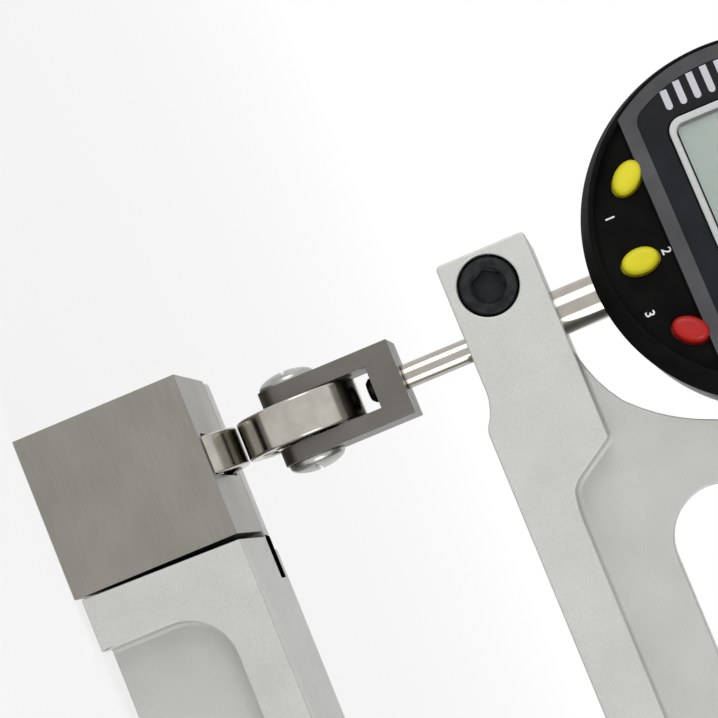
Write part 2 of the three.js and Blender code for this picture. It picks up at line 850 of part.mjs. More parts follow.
function bezel() {
  const profile = [
    [0, panelFront],
    [facetInner, panelFront],
    [facetOuter, dialFront],
    [frontRadius - frontRounding, dialFront],
    [frontRadius, dialFront + frontRounding],
    [dialRadius, dialJoint - bezelBand],
    [dialRadius, dialJoint],
    [bezelInner, dialJoint],
    [bezelInner, panelBack],
    [0, panelBack],
  ];
  const zoneRadius = facetOuter - gap;
  const zoneHalf = Math.acos(-keyZoneTop / zoneRadius);
  const zone = new THREE.Shape();
  zone.absarc(0, 0, zoneRadius, -Math.PI / 2 - zoneHalf, -Math.PI / 2 + zoneHalf, false);
  const opening = roundedRectangle(
    displayWidth + 2 * gap, displayHeight + 2 * gap, displayCorner + gap, displayCentre,
  );
  let body = solid(turned('y', profile, 44));
  for (const [x, , z] of posts) {
    body = body
      .add(rod('y', bezelPostDiameter / 2, panelBack, dialJoint, 10, [x, 0, z]))
      .subtract(rod('y', postHole / 2, coverScrewReach - gap, dialJoint + 1, 8, [x, 0, z]));
  }
  body = body
    .subtract(slab(opening, dialFront - 1, panelBack + 1))
    .subtract(slab(zone, dialFront - 1, panelFront + keyZoneDepth, 0, 12));
  for (const key of keys) body = body.subtract(keyHole(key));
  return body;
}

function displayFrame() {
  const outer = roundedRectangle(displayWidth, displayHeight, displayCorner, displayCentre);
  const width = displayWidth - 2 * displayBorder;
  const height = displayHeight - 2 * displayBorder;
  outer.holes.push(roundedRectangle(width, height, displayCorner - displayBorder, displayCentre));
  return slab(outer, displayFront, displayBack, 0, 3);
}

function displayPane(front, thickness) {
  const width = displayWidth - 2 * (displayBorder + gap);
  const height = displayHeight - 2 * (displayBorder + gap);
  const corner = displayCorner - displayBorder - gap;
  return slab(roundedRectangle(width, height, corner, displayCentre), front, front + thickness, 0, 2);
}

function contactStrip() {
  const half = stripLength / 2;
  const low = displayCentre - displayHeight / 2 + displayBorder + gap + 0.5;
  return box([-half, half], [glassFront + glassThickness, boardFront], [low, low + stripHeight]);
}

function circuitBoard() {
  let board = rod('y', bezelInner - gap, boardFront, boardBack, 48);
  for (const [x, , z] of posts) {
    const notch = bezelPostDiameter / 2 + gap;
    board = board.subtract(rod('y', notch, boardFront - past, boardBack + past, 10, [x, 0, z]));
    board = board.subtract(rod('y', notch, boardFront - past, boardBack + past, 10, [x * postMouth, 0, z * postMouth]));
  }
  return board;
}

// The data socket's opening, and the cover that fills it
function portBlock(inner, outer, clearance) {
  const geometry = new THREE.BoxGeometry(outer - inner, portHeight + 2 * clearance, portLength + 2 * clearance);
  return solid(geometry.translate((inner + outer) / 2, portCentreY, 0).rotateY(portTurn));
}

function housing() {
  const half = padWidth / 2;
  const lowPad = [-housingInner - padRoot, padBottomTop];
  const highPad = [padTopBottom, housingInner + padRoot];
  const boreTop = padBottomTop - padShoulder;
  const sleeveSeat = padTopBottom + padShoulder;
  const guideHole = guideDiameter / 2 + gap;
  const profile = [
    [housingInner, dialJoint],
    [housingRadius, dialJoint],
    [housingRadius, dialJoint + housingBand],
    [housingBackRadius, dialBack],
    [housingInner, dialBack],
    [housingInner, dialJoint],
  ];
  let body = solid(turned('y', profile, 44));
  const core = rod('y', housingInner + padRoot, dialJoint, dialBack, 44);
  for (const pad of [lowPad, highPad]) {
    body = body.add(box([-half, half], [dialJoint, dialBack], pad).intersect(core));
  }
  for (const place of posts) body = body.add(rod('y', postDiameter / 2, dialJoint, dialBack, 10, place));
  for (const place of posts) body = body.subtract(rod('y', postHole / 2, dialJoint - 1, dialBack + 1, 8, place));
  const port = portBlock(housingInner - past, housingRadius + past, gap);
  return body
    .subtract(rod('z', stemRadius + gap, -housingRadius - 2, boreTop, 20))
    .subtract(rod('z', bushInner, boreTop - 1, padBottomTop + 1, 16))
    .subtract(rod('z', bushInner, padTopBottom - 1, sleeveSeat + 1, 16))
    .subtract(rod('z', sleeveDiameter / 2 + gap, sleeveSeat, housingRadius + 2, 20))
    .subtract(rod('z', guideHole, padBottomTop - padShoulder, padTopBottom + padShoulder, 10, [guideX, 0, 0]))
    .subtract(port);
}

function topSleeve() {
  const outer = sleeveDiameter / 2;
  const inner = outer - sleeveWall;
  const bottom = padTopBottom + padShoulder + gap;
  const collarLow = housingRadius + gap;
  const collar = sleeveCollarDiameter / 2;
  const profile = [
    [inner, bottom],
    [outer, bottom],
    [outer, collarLow],
    [collar, collarLow],
    [collar, collarLow + sleeveCollarHeight],
    [outer, collarLow + sleeveCollarHeight],
    [outer, sleeveTop],
    [inner, sleeveTop],
    [inner, bottom],
  ];
  return solid(turned('z', profile, 24));
}

const cupFloor = dialBack - batteryThickness - 4 * gap;

function backCover() {
  let cover = rod('y', housingBackRadius - coverInset, dialBack, coverBack, 44);
  const battery = [batteryX, 0, batteryZ];
  const pocket = batteryDiameter / 2 + gap;
  cover = cover
    .add(rod('y', pocket + cupWall, cupFloor - 1, coverBack, 24, battery))
    .subtract(rod('y', pocket, cupFloor, coverBack + 1, 24, battery))
    .subtract(rod('y', capDiameter / 2 + gap, coverBack - capThickness, coverBack + 1, 24, battery));
  for (const place of posts) {
    cover = cover
      .subtract(rod('y', postHole / 2, dialBack - 1, coverBack + 1, 8, place))
      .subtract(rod('y', coverScrewHead / 2 + gap, coverBack - coverScrewHeadHeight, coverBack + 1, 12, place));
  }
  return cover;
}

function coverScrew([x, y, z]) {
  const seat = coverBack - coverScrewHeadHeight;
  const head = coverScrewHead / 2;
  const shank = coverScrewDiameter / 2;
  const profile = [
    [0, coverBack],
    [head - 0.3, coverBack],
    [head, coverBack - 0.3],
    [head, seat],
    [shank, seat],
    [shank, coverScrewReach],
    [0, coverScrewReach],
  ];
  return solid(turned('y', profile, 12).translate(x, y, z));
}

function battery() {
  const front = cupFloor + gap;
  return rod('y', batteryDiameter / 2, front, front + batteryThickness, 32, [batteryX, 0, batteryZ]);
}

function batteryCap() {
  const flange = capDiameter / 2;
  const plug = batteryDiameter / 2;
  const seat = coverBack - capThickness;
  const inside = cupFloor + batteryThickness + 2 * gap;
  const profile = [[0, coverBack], [flange, coverBack], [flange, seat], [plug, seat], [plug, inside], [0, inside]];
  const slotHalfLength = flange * 0.6;
  const slotHalfWidth = capSlotWidth / 2;
  const coinSlot = box(
    [batteryX - slotHalfLength, batteryX + slotHalfLength],
    [coverBack - 0.6, coverBack + 1],
    [batteryZ - slotHalfWidth, batteryZ + slotHalfWidth],
  );
  return solid(turned('y', profile, 24).translate(batteryX, 0, batteryZ)).subtract(coinSlot);
}

// Carriage, scale, guide rod and spring inside the head

function scaleCarriage() {
  const screwZ = carriageBottom + carriageHeight / 2;
  const hole = carriageScrewDiameter / 2 + gap;
  const ends = [carriageBottom, carriageBottom + carriageHeight];
  return box([carriageLeft, carriageRight], [carriageFront, carriageBack], ends)
    .subtract(rod('z', bushInner, ends[0] - 1, ends[1] + 1, 24))
    .subtract(rod('z', guideDiameter / 2 + gap, ends[0] - 1, ends[1] + 1, 12, [guideX, 0, 0]))
    .subtract(rod('y', hole, plungerRadius, carriageBack + 1, 12, [0, 0, screwZ]));
}

function carriageScrew() {
  const screwZ = carriageBottom + carriageHeight / 2;
  const radius = carriageScrewDiameter / 2;
  return rod('y', radius, plungerRadius + gap, carriageBack, 12, [0, 0, screwZ]);
}

function encoderScale() {
  const half = scaleWidth / 2;
  const low = carriageBottom - (scaleLength - carriageHeight) / 2;
  return box([-half, half], [carriageFront - scaleThickness, carriageFront], [low, low + scaleLength]);
}

class Helix extends THREE.Curve {
  constructor(radius, bottom, top, turns) {
    super();
    Object.assign(this, { radius, bottom, top, turns });
  }

  getPoint(t, target = new THREE.Vector3()) {
    const angle = 2 * Math.PI * this.turns * t;
    const height = this.bottom + (this.top - this.bottom) * t;
    return target.set(this.radius * Math.cos(angle), this.radius * Math.sin(angle), height);
  }
}

function returnSpring() {
  const wire = springWire / 2;
  const bottom = carriageBottom + carriageHeight + gap + wire;
  const top = padTopBottom - gap - wire;
  const path = new Helix((springDiameter - springWire) / 2, bottom, top, springTurns);
  const section = new THREE.Shape(corners(new THREE.EllipseCurve(0, 0, wire, wire), 5));
  return solid(new THREE.ExtrudeGeometry(section, { steps: springTurns * 8, extrudePath: path }));
}

// Assembly

const gauge = new THREE.Group();
gauge.position.z = -anvilBottom;

gauge.add(
  piece('c_frame', frame(), finishes.castPaint),
  piece('clamp_bolt', clampBolt(), finishes.blackOxide),
  piece('anvil_block', anvilBlock(), finishes.groundSteel),
  piece('anvil_screw_left', anvilScrew(-1), finishes.blackOxide),
  piece('anvil_screw_right', anvilScrew(1), finishes.blackOxide),
  piece('lower_axle', lowerAxle(), finishes.bearingSteel),
  piece('lower_axle_set_screw', setScrew(), finishes.blackOxide),
  roller('lower_roller', -rollerZ),
  roller('upper_roller', rollerZ),
  piece('fork', fork(), finishes.groundSteel),
  piece('fork_screw', forkScrew(), finishes.blackOxide),
  piece('plunger', plunger(), finishes.chrome),
  piece('stem', tube('z', stemRadius - stemWall, stemRadius, stemBottom, stemTop), finishes.chrome),
  piece('lower_bush', tube('z', bushInner, bushOuter, stemBottom, stemBottom + lowerBushLength, 24), finishes.bronze),
  piece('lift_knob', liftKnob(), finishes.blackPlastic),
);

const axle = new THREE.Group();
axle.position.z = rollerZ;
axle.add(
  piece('axle_sleeve', axleSleeve(), finishes.zincPlate),
  piece('axle_screw', axleScrew(), finishes.zincPlate),
);

const head = new THREE.Group();
head.position.z = dialHeight;
head.rotation.z = headTurn;
head.add(
  piece('front_bezel', bezel(), finishes.blackPlastic),
  piece('lcd_frame', displayFrame(), finishes.silverTrim),
  piece('lcd_window', displayPane(displayFront + windowInset, windowThickness), finishes.clearPlastic),
  piece('lcd_panel', displayPane(glassFront, glassThickness), finishes.displayGlass),
  piece('contact_strip', contactStrip(), finishes.blackRubber),
  piece('circuit_board', circuitBoard(), finishes.greenBoard),
  piece('indicator_housing', housing(), finishes.zincDieCast),
  piece('back_cover', backCover(), finishes.blackPlastic),
  piece('battery', battery(), finishes.chrome),
  piece('battery_cap', batteryCap(), finishes.blackPlastic),
  piece('scale_carriage', scaleCarriage(), finishes.zincDieCast),
  piece('carriage_screw', carriageScrew(), finishes.blackOxide),
  piece('encoder_scale', encoderScale(), finishes.greenBoard),
  piece('guide_rod', rod('z', guideDiameter / 2, padBottomTop - padShoulder + gap,
    padTopBottom + padShoulder - gap, 12, [guideX, 0, 0]), finishes.bearingSteel),
  piece('return_spring', returnSpring(), finishes.springSteel),
  piece('top_sleeve', topSleeve(), finishes.chrome),
  piece('upper_bush', tube('z', bushInner, bushOuter, padTopBottom + padShoulder + 2 * gap,
    padTopBottom + padShoulder + 2 * gap + upperBushLength, 24), finishes.bronze),
);
posts.forEach((place, i) => {
  head.add(piece(`cover_screw_${i + 1}`, coverScrew(place), finishes.zincPlate));
});
for (const key of keys) {
  head.add(
    piece(`button_${key.name}`, button(key), key.finish),
    piece(`key_switch_${key.name}`, keySwitch(key), finishes.blackRubber),
  );
}

const portCover = portBlock(housingRadius - portThickness, housingRadius + portProud, 0);
head.add(piece('port_cover', portCover, finishes.blackRubber));

gauge.add(axle, head);

export default gauge;
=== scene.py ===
# Roller film thickness gauge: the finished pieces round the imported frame, and the stage.
# Lengths are written in millimetres and turned to metres where a mesh is made. Heights of the
# casting count from the nip, where the rollers meet, and those of the head from its centre.

import json
import math

import bpy
from mathutils import Matrix, Vector


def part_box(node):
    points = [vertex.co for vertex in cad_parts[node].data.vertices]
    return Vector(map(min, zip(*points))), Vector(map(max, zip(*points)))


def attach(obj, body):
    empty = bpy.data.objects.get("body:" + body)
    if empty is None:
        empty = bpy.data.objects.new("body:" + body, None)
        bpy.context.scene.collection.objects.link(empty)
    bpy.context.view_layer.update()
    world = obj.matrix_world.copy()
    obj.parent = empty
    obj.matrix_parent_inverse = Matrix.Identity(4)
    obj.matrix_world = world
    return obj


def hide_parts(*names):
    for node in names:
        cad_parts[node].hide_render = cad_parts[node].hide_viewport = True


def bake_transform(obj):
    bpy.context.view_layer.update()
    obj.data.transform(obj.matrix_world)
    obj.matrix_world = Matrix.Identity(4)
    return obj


bl_info = {
    "name": "Film thickness gauge",
    "version": (1, 0, 0),
    "blender": (4, 5, 0),
    "location": "3D View > Sidebar > Gauge",
    "description": "Builds the pieces of a roller film thickness gauge round its frame",
    "category": "Add Mesh",
}

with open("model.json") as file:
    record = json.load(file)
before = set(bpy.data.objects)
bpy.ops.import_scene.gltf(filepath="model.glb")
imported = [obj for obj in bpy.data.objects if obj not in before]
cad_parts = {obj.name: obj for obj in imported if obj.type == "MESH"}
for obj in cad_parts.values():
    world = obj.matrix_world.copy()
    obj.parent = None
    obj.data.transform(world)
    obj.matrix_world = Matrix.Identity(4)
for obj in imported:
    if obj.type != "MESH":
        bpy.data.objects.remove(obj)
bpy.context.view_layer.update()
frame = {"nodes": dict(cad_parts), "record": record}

# A millimetre in metres, the clearance in millimetres, and the sides of fine round pieces
MM = 0.001
GAP = 0.3
FINE = 96
VERY_FINE = 160

# The nodes of the indicator's head, and its turn about the stem, told by the way its keys press
HEAD = ("front_bezel", "indicator", "back_cover", "battery", "lcd_", "button_", "cover_", "top_")
JOINTS = frame["record"]["behaviour"]["joints"]
PRESS = next(joint["axis"] for joint in JOINTS if joint["name"] == "mode_key_press")
TURN = math.atan2(-PRESS[0], PRESS[1])


def measured(node):
    """The box of a node in millimetres; the head's are measured as if the head weren't turned."""
    if not node.startswith(HEAD):
        return [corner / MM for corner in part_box(node)]
    back = Matrix.Rotation(-TURN, 3, "Z")
    spots = [back @ vertex.co / MM for vertex in frame["nodes"][node].data.vertices]
    return [Vector([pick(spot[i] for spot in spots) for i in range(3)]) for pick in (min, max)]


def low(node):
    return measured(node)[0]


def high(node):
    return measured(node)[1]


def middle(node):
    return (low(node) + high(node)) / 2


def half_width(node):
    return (high(node).x - low(node).x) / 2


# Heights of the nip and of the dial's centre, and the casting's front and back
NIP = (low("upper_roller_outer_ring").z + high("lower_roller_outer_ring").z) / 2
DIAL = middle("front_bezel").z
FRONT = low("c_frame").y
BACK = high("c_frame").y


# Colours

def colour(code):
    """A colour of six hex digits, as linear light with full cover."""
    parts = [int(code[i:i + 2], 16) / 255 for i in (1, 3, 5)]
    linear = [c / 12.92 if c <= 0.04045 else ((c + 0.055) / 1.055) ** 2.4 for c in parts]
    return (*linear, 1.0)


# Making pieces by hand

def only(piece):
    """Leaves this piece alone selected and active, in object mode."""
    if bpy.context.object and bpy.context.object.mode != "OBJECT":
        bpy.ops.object.mode_set(mode="OBJECT")
    bpy.ops.object.select_all(action="DESELECT")
    if piece:
        piece.select_set(True)
        bpy.context.view_layer.objects.active = piece


def arc(x, z, radius, start, end, steps=16):
    """Points of an arc, with its angles in degrees."""
    turn = [math.radians(start + (end - start) * i / steps) for i in range(steps + 1)]
    return [(x + radius * math.cos(t), z + radius * math.sin(t)) for t in turn]


def softened(points, reach, steps=5):
    """An outline whose corners are rounded off, each from reach before it to reach past it."""
    result = []
    for i, point in enumerate(points):
        here = Vector(point)
        before = Vector(points[i - 1]) - here
        after = Vector(points[(i + 1) % len(points)]) - here
        # A corner takes up less than half of the sides beside it
        size = min(reach, before.length * 0.45, after.length * 0.45)
        start = here + before.normalized() * size
        end = here + after.normalized() * size
        for k in range(steps + 1):
            t = k / steps
            result.append(tuple(start * (1 - t) ** 2 + here * 2 * t * (1 - t) + end * t * t))
    return result


def tidy_outline(points):
    """The outline without points that lie on top of the one before."""
    close = 0.02
    return [p for i, p in enumerate(points) if (Vector(p) - Vector(points[i - 1])).length > close]


def loop(name, points, fill):
    """A closed loop of points, as a ring of edges or as one face."""
    only(None)
    bpy.ops.mesh.primitive_circle_add(vertices=len(points), radius=MM, fill_type=fill)
    piece = bpy.context.object
    piece.name = name
    for vertex, point in zip(piece.data.vertices, points):
        vertex.co = Vector(point) * MM
    return piece


def along(axis, depth, u, v):
    """The point (u, v) of a drawing, at this depth along the axis that the drawing faces."""
    return {"x": (depth, u, v), "y": (u, depth, v), "z": (u, v, depth)}[axis]


def cleaned(piece):
    """Merges doubled points and turns every face outwards."""
    only(piece)
    bpy.ops.object.mode_set(mode="EDIT")
    bpy.ops.mesh.select_all(action="SELECT")
    bpy.ops.mesh.remove_doubles(threshold=0.002 * MM)
    bpy.ops.mesh.normals_make_consistent(inside=False)
    bpy.ops.object.mode_set(mode="OBJECT")
    return piece


def extruded(name, outline, axis, start, end):
    """A drawn outline pulled out into a solid, from start to end along the axis."""
    points = [along(axis, start, u, v) for u, v in tidy_outline(outline)]
    piece = loop(name, points, "NGON")
    bpy.ops.object.mode_set(mode="EDIT")
    bpy.ops.mesh.select_all(action="SELECT")
    pull = Vector(along(axis, end - start, 0, 0)) * MM
    bpy.ops.mesh.extrude_region_move(TRANSFORM_OT_translate={"value": pull})
    bpy.ops.object.mode_set(mode="OBJECT")
    return cleaned(piece)


def block(name, corner, opposite):
    """A box between two corners."""
    only(None)
    centre = (Vector(corner) + Vector(opposite)) / 2 * MM
    bpy.ops.mesh.primitive_cube_add(size=1, location=centre)
    piece = bpy.context.object
    piece.name = name
    piece.scale = (Vector(opposite) - Vector(corner)) * MM
    bpy.ops.object.transform_apply(location=True, rotation=True, scale=True)
    return piece


def opened(piece, ends):
    """Takes away the edge between two vertices. Only in edge mode does its selection hold."""
    bpy.ops.object.mode_set(mode="EDIT")
    bpy.ops.mesh.select_all(action="DESELECT")
    bpy.ops.mesh.select_mode(type="EDGE")
    bpy.ops.object.mode_set(mode="OBJECT")
    for edge in piece.data.edges:
        edge.select = set(edge.vertices) == ends
    bpy.ops.object.mode_set(mode="EDIT")
    bpy.ops.mesh.delete(type="EDGE")
    bpy.ops.mesh.select_mode(type="VERT")
    bpy.ops.object.mode_set(mode="OBJECT")


def turned(name, axis, profile, place=(0, 0, 0), steps=FINE):
    """A profile of (radius, place along the axis) points, spun round that axis."""
    flat = {"x": (0, 0, 1), "y": (1, 0, 0), "z": (1, 0, 0)}[axis]
    line = {"x": (1, 0, 0), "y": (0, 1, 0), "z": (0, 0, 1)}[axis]
    centre = Vector(place)
    points = [centre + Vector(flat) * r + Vector(line) * a for r, a in profile]
    piece = loop(name, points, "NOTHING")
    if profile[0][0] == 0 and profile[-1][0] == 0:
        opened(piece, {0, len(profile) - 1})
    bpy.ops.object.mode_set(mode="EDIT")
    bpy.ops.mesh.select_all(action="SELECT")
    bpy.ops.mesh.spin(steps=steps, angle=2 * math.pi, center=centre * MM, axis=line)
    bpy.ops.object.mode_set(mode="OBJECT")
    return cleaned(piece)


def rod(name, axis, radius, start, end, place=(0, 0, 0), steps=64):
    """A round bar."""
    return turned(name, axis, [(0, start), (radius, start), (radius, end), (0, end)], place, steps)


def hexagon(name, axis, flats, start, end, place):
    """A six-sided bar, by its width across flats."""
    return rod(name, axis, flats / math.sqrt(3), start, end, place, 6)


def apply_modifier(piece, kind, **settings):
    only(piece)
    modifier = piece.modifiers.new(kind.lower(), kind)
    for key, value in settings.items():
        setattr(modifier, key, value)
    bpy.ops.object.modifier_apply(modifier=modifier.name)
    return piece


def joined(piece, *others):
    """The union of a piece with others."""
    for other in others:
        apply_modifier(piece, "BOOLEAN", operation="UNION", solver="EXACT", object=other)
        bpy.data.objects.remove(other)
    return piece


def cut(piece, *cutters):
    """The piece with its cutters taken away from it."""
    for cutter in cutters:
        apply_modifier(piece, "BOOLEAN", operation="DIFFERENCE", solver="EXACT", object=cutter)
        bpy.data.objects.remove(cutter)
    return piece


def merged(name, pieces):
    """Several pieces as one object, under a name of its own."""
    only(pieces[0])
    for piece in pieces:
        piece.select_set(True)
    bpy.ops.object.join()
    pieces[0].name = name
    return pieces[0]


def eased(piece, width, segments=3, angle=30):
    """Rounds every edge sharper than the angle."""
    return apply_modifier(piece, "BEVEL", width=width * MM, segments=segments, limit_method="ANGLE",
                          angle_limit=math.radians(angle), use_clamp_overlap=True,
                          miter_outer="MITER_ARC")


def smoothed(piece, angle=32):
    """Smooth shading that stays flat on flat faces."""
    only(piece)
    bpy.ops.object.shade_smooth_by_angle(angle=math.radians(angle), keep_sharp_edges=True)
    return apply_modifier(piece, "WEIGHTED_NORMAL", keep_sharp=True, weight=90)


def swung(piece):
    """Turns a piece of the head about the stem, as the head is clamped."""
    only(piece)
    piece.rotation_euler.z = TURN
    bpy.ops.object.transform_apply(location=True, rotation=True, scale=True)
    return piece


def dressed(piece, material, slot, body, *nodes):
    """Gives a finished piece its material and its body, and hides what it stands for; its slot is not used.
    """
    piece.data.materials.clear()
    piece.data.materials.append(material)
    piece.data.name = piece.name
    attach(piece, body)
    if nodes:
        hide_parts(*nodes)
    return piece


def machined(piece, width, segments=2, angle=30, smooth=32):
    """A turned or milled piece with its edges broken."""
    return smoothed(eased(piece, width, segments, angle), smooth)


# Materials

def add(tree, kind, settings=None, links=None):
    """Adds a node with its settings and its links."""
    node = tree.nodes.new(kind)
    for key, value in (settings or {}).items():
        if isinstance(key, int) or key in node.inputs:
            node.inputs[key].default_value = value
        else:
            setattr(node, key, value)
    for key, source in (links or {}).items():
        tree.links.new(source, node.inputs[key])
    return node


def material(name, surface):
    """An empty material with a plain surface, ready for its pattern."""
    made = bpy.data.materials.new(name)
    made.use_nodes = True
    tree = made.node_tree
    tree.nodes.clear()
    shader = add(tree, "ShaderNodeBsdfPrincipled", surface)
    add(tree, "ShaderNodeOutputMaterial", links={"Surface": shader.outputs[0]})
    return made, tree, shader


def pattern(tree, size, detail=2.0, stretch=(1, 1, 1)):
    """Noise whose grains are size millimetres across, drawn out along an axis by stretch."""
    place = add(tree, "ShaderNodeTexCoord")
    scale = [1 / (size * MM * s) for s in stretch]
    mapping = add(tree, "ShaderNodeMapping", {"Scale": scale}, {"Vector": place.outputs["Object"]})
    return add(tree, "ShaderNodeTexNoise", {"Scale": 1.0, "Detail": detail},
               {"Vector": mapping.outputs[0]}).outputs["Fac"]


def levels(tree, source, dark, light, start=0.35, end=0.65):
    """Spreads a pattern between two plain values."""
    return add(tree, "ShaderNodeMapRange",
               {"From Min": start, "From Max": end, "To Min": dark, "To Max": light},
               {"Value": source}).outputs[0]


def tinted(tree, source, dark, light, start=0.3, end=0.7):
    """Spreads a pattern between two colours."""
    ramp = add(tree, "ShaderNodeValToRGB", links={"Fac": source})
    ramp.color_ramp.elements[0].position = start
    ramp.color_ramp.elements[0].color = colour(dark)
    ramp.color_ramp.elements[1].position = end
    ramp.color_ramp.elements[1].color = colour(light)
    return ramp.outputs[0]


def relief(tree, shader, source, depth, strength=1.0):
    """Lifts a pattern by depth millimetres."""
    bump = add(tree, "ShaderNodeBump", {"Strength": strength, "Distance": depth * MM},
               {"Height": source})
    tree.links.new(bump.outputs[0], shader.inputs["Normal"])


def feed(tree, shader, **sources):
    for key, source in sources.items():
        tree.links.new(source, shader.inputs[key.replace("_", " ")])


def baked_enamel():
    """Silver-grey baked enamel over an aluminium sand casting: satin, with a soft orange peel and a painted
    recess shade.
    """
    made, tree, shader = material("baked_enamel", {"Metallic": 0.3, "Coat Weight": 0.3,
                                                   "Coat Roughness": 0.28})
    cloud = pattern(tree, 9.0)
    grain = pattern(tree, 0.22)
    peel = pattern(tree, 0.9, 1.0)
    settings = bpy.context.scene.film_gauge
    base = tinted(tree, cloud, settings.enamel_shade, settings.enamel_light)
    flecks = levels(tree, grain, 0.93, 1.04)
    # Painted shade: from the sunk web backwards the enamel is made a little darker, in place of the shade
    # that falls in the recess
    depth = add(tree, "ShaderNodeSeparateXYZ",
                links={0: add(tree, "ShaderNodeTexCoord").outputs["Object"]}).outputs["Y"]
    painted_recess_shade = levels(tree, depth, 1.0, 0.92, -12 * MM, -10 * MM)
    shade = add(tree, "ShaderNodeMath", {"operation": "MULTIPLY"}, {0: flecks, 1: painted_recess_shade})
    mixed = add(tree, "ShaderNodeVectorMath", {"operation": "SCALE"},
                {0: base, "Scale": shade.outputs[0]})
    feed(tree, shader, Base_Color=mixed.outputs[0], Roughness=levels(tree, peel, 0.38, 0.5))
    relief(tree, shader, peel, 0.02, 0.35)
    return made


def ground_steel(name, dark, light, stretch):
    """Tool steel from the surface grinder: fine lines one way, with a warm satin shine."""
    made, tree, shader = material(name, {"Metallic": 1.0, "Anisotropic": 0.35})
    lines = pattern(tree, 0.09, 3.0, stretch)
    cloud = pattern(tree, 11.0, 1.0)
    base = tinted(tree, cloud, dark, light)
    scratch = levels(tree, lines, 0.94, 1.04)
    mixed = add(tree, "ShaderNodeVectorMath", {"operation": "SCALE"}, {0: base, "Scale": scratch})
    feed(tree, shader, Base_Color=mixed.outputs[0], Roughness=levels(tree, lines, 0.33, 0.42))
    relief(tree, shader, lines, 0.004, 0.5)
    return made


def turned_steel(name, dark, light, rough, stretch):
    """Steel with the fine rings that turning and grinding leave round it."""
    made, tree, shader = material(name, {"Metallic": 1.0})
    rings = pattern(tree, 0.08, 2.0, stretch)
    stain = pattern(tree, 3.0, 2.0)
    feed(tree, shader, Base_Color=tinted(tree, stain, dark, light),
         Roughness=levels(tree, rings, rough * 0.85, rough * 1.25))
    relief(tree, shader, rings, 0.002, 0.35)
    return made


def finish(name, surface, tint, shine, lift=None):
    """A finish of plain patterns, each told by its size and its detail, and by what it does: the tint
    goes from one colour to another, the shine between two roughnesses, the lift has depth and strength."""
    made, tree, shader = material(name, surface)
    size, detail, dark, light = tint
    feed(tree, shader, Base_Color=tinted(tree, pattern(tree, size, detail), dark, light))
    size, detail, least, most = shine
    feed(tree, shader, Roughness=levels(tree, pattern(tree, size, detail), least, most))
    if lift:
        size, detail, depth, strength = lift
        relief(tree, shader, pattern(tree, size, detail), depth, strength)
    return made


def moulded_plastic(name, dark, light, rough, grain=0.3, depth=0.012, shine=0.25):
    """Moulded ABS: the fine spark texture of the mould gives an even satin face."""
    return finish(name, {"IOR": 1.52, "Specular IOR Level": shine}, (6.0, 1.0, dark, light),
                  (grain, 2.0, rough * 0.9, rough * 1.12), (grain, 2.0, depth, 0.4))


def clear_acrylic():
    """Clear acrylic window: hardly seen but for its glare."""
    made, tree, shader = material("clear_acrylic", {"Base Color": colour("#E6ECEA"), "Alpha": 0.14,
                                                    "IOR": 1.49})
    haze = pattern(tree, 4.0, 2.0)
    feed(tree, shader, Roughness=levels(tree, haze, 0.05, 0.12))
    return made


def printed_ink(name, code):
    """Pad-printed ink: an even film with slightly soft gloss."""
    made, tree, shader = material(name, {"IOR": 1.5})
    film = pattern(tree, 0.15, 1.0)
    dim = add(tree, "ShaderNodeVectorMath", {"operation": "SCALE", 0: colour(code)[:3]},
              {"Scale": levels(tree, film, 0.94, 1.0)})
    feed(tree, shader, Base_Color=dim.outputs[0], Roughness=levels(tree, film, 0.4, 0.5))
    return made


MATERIALS = {}


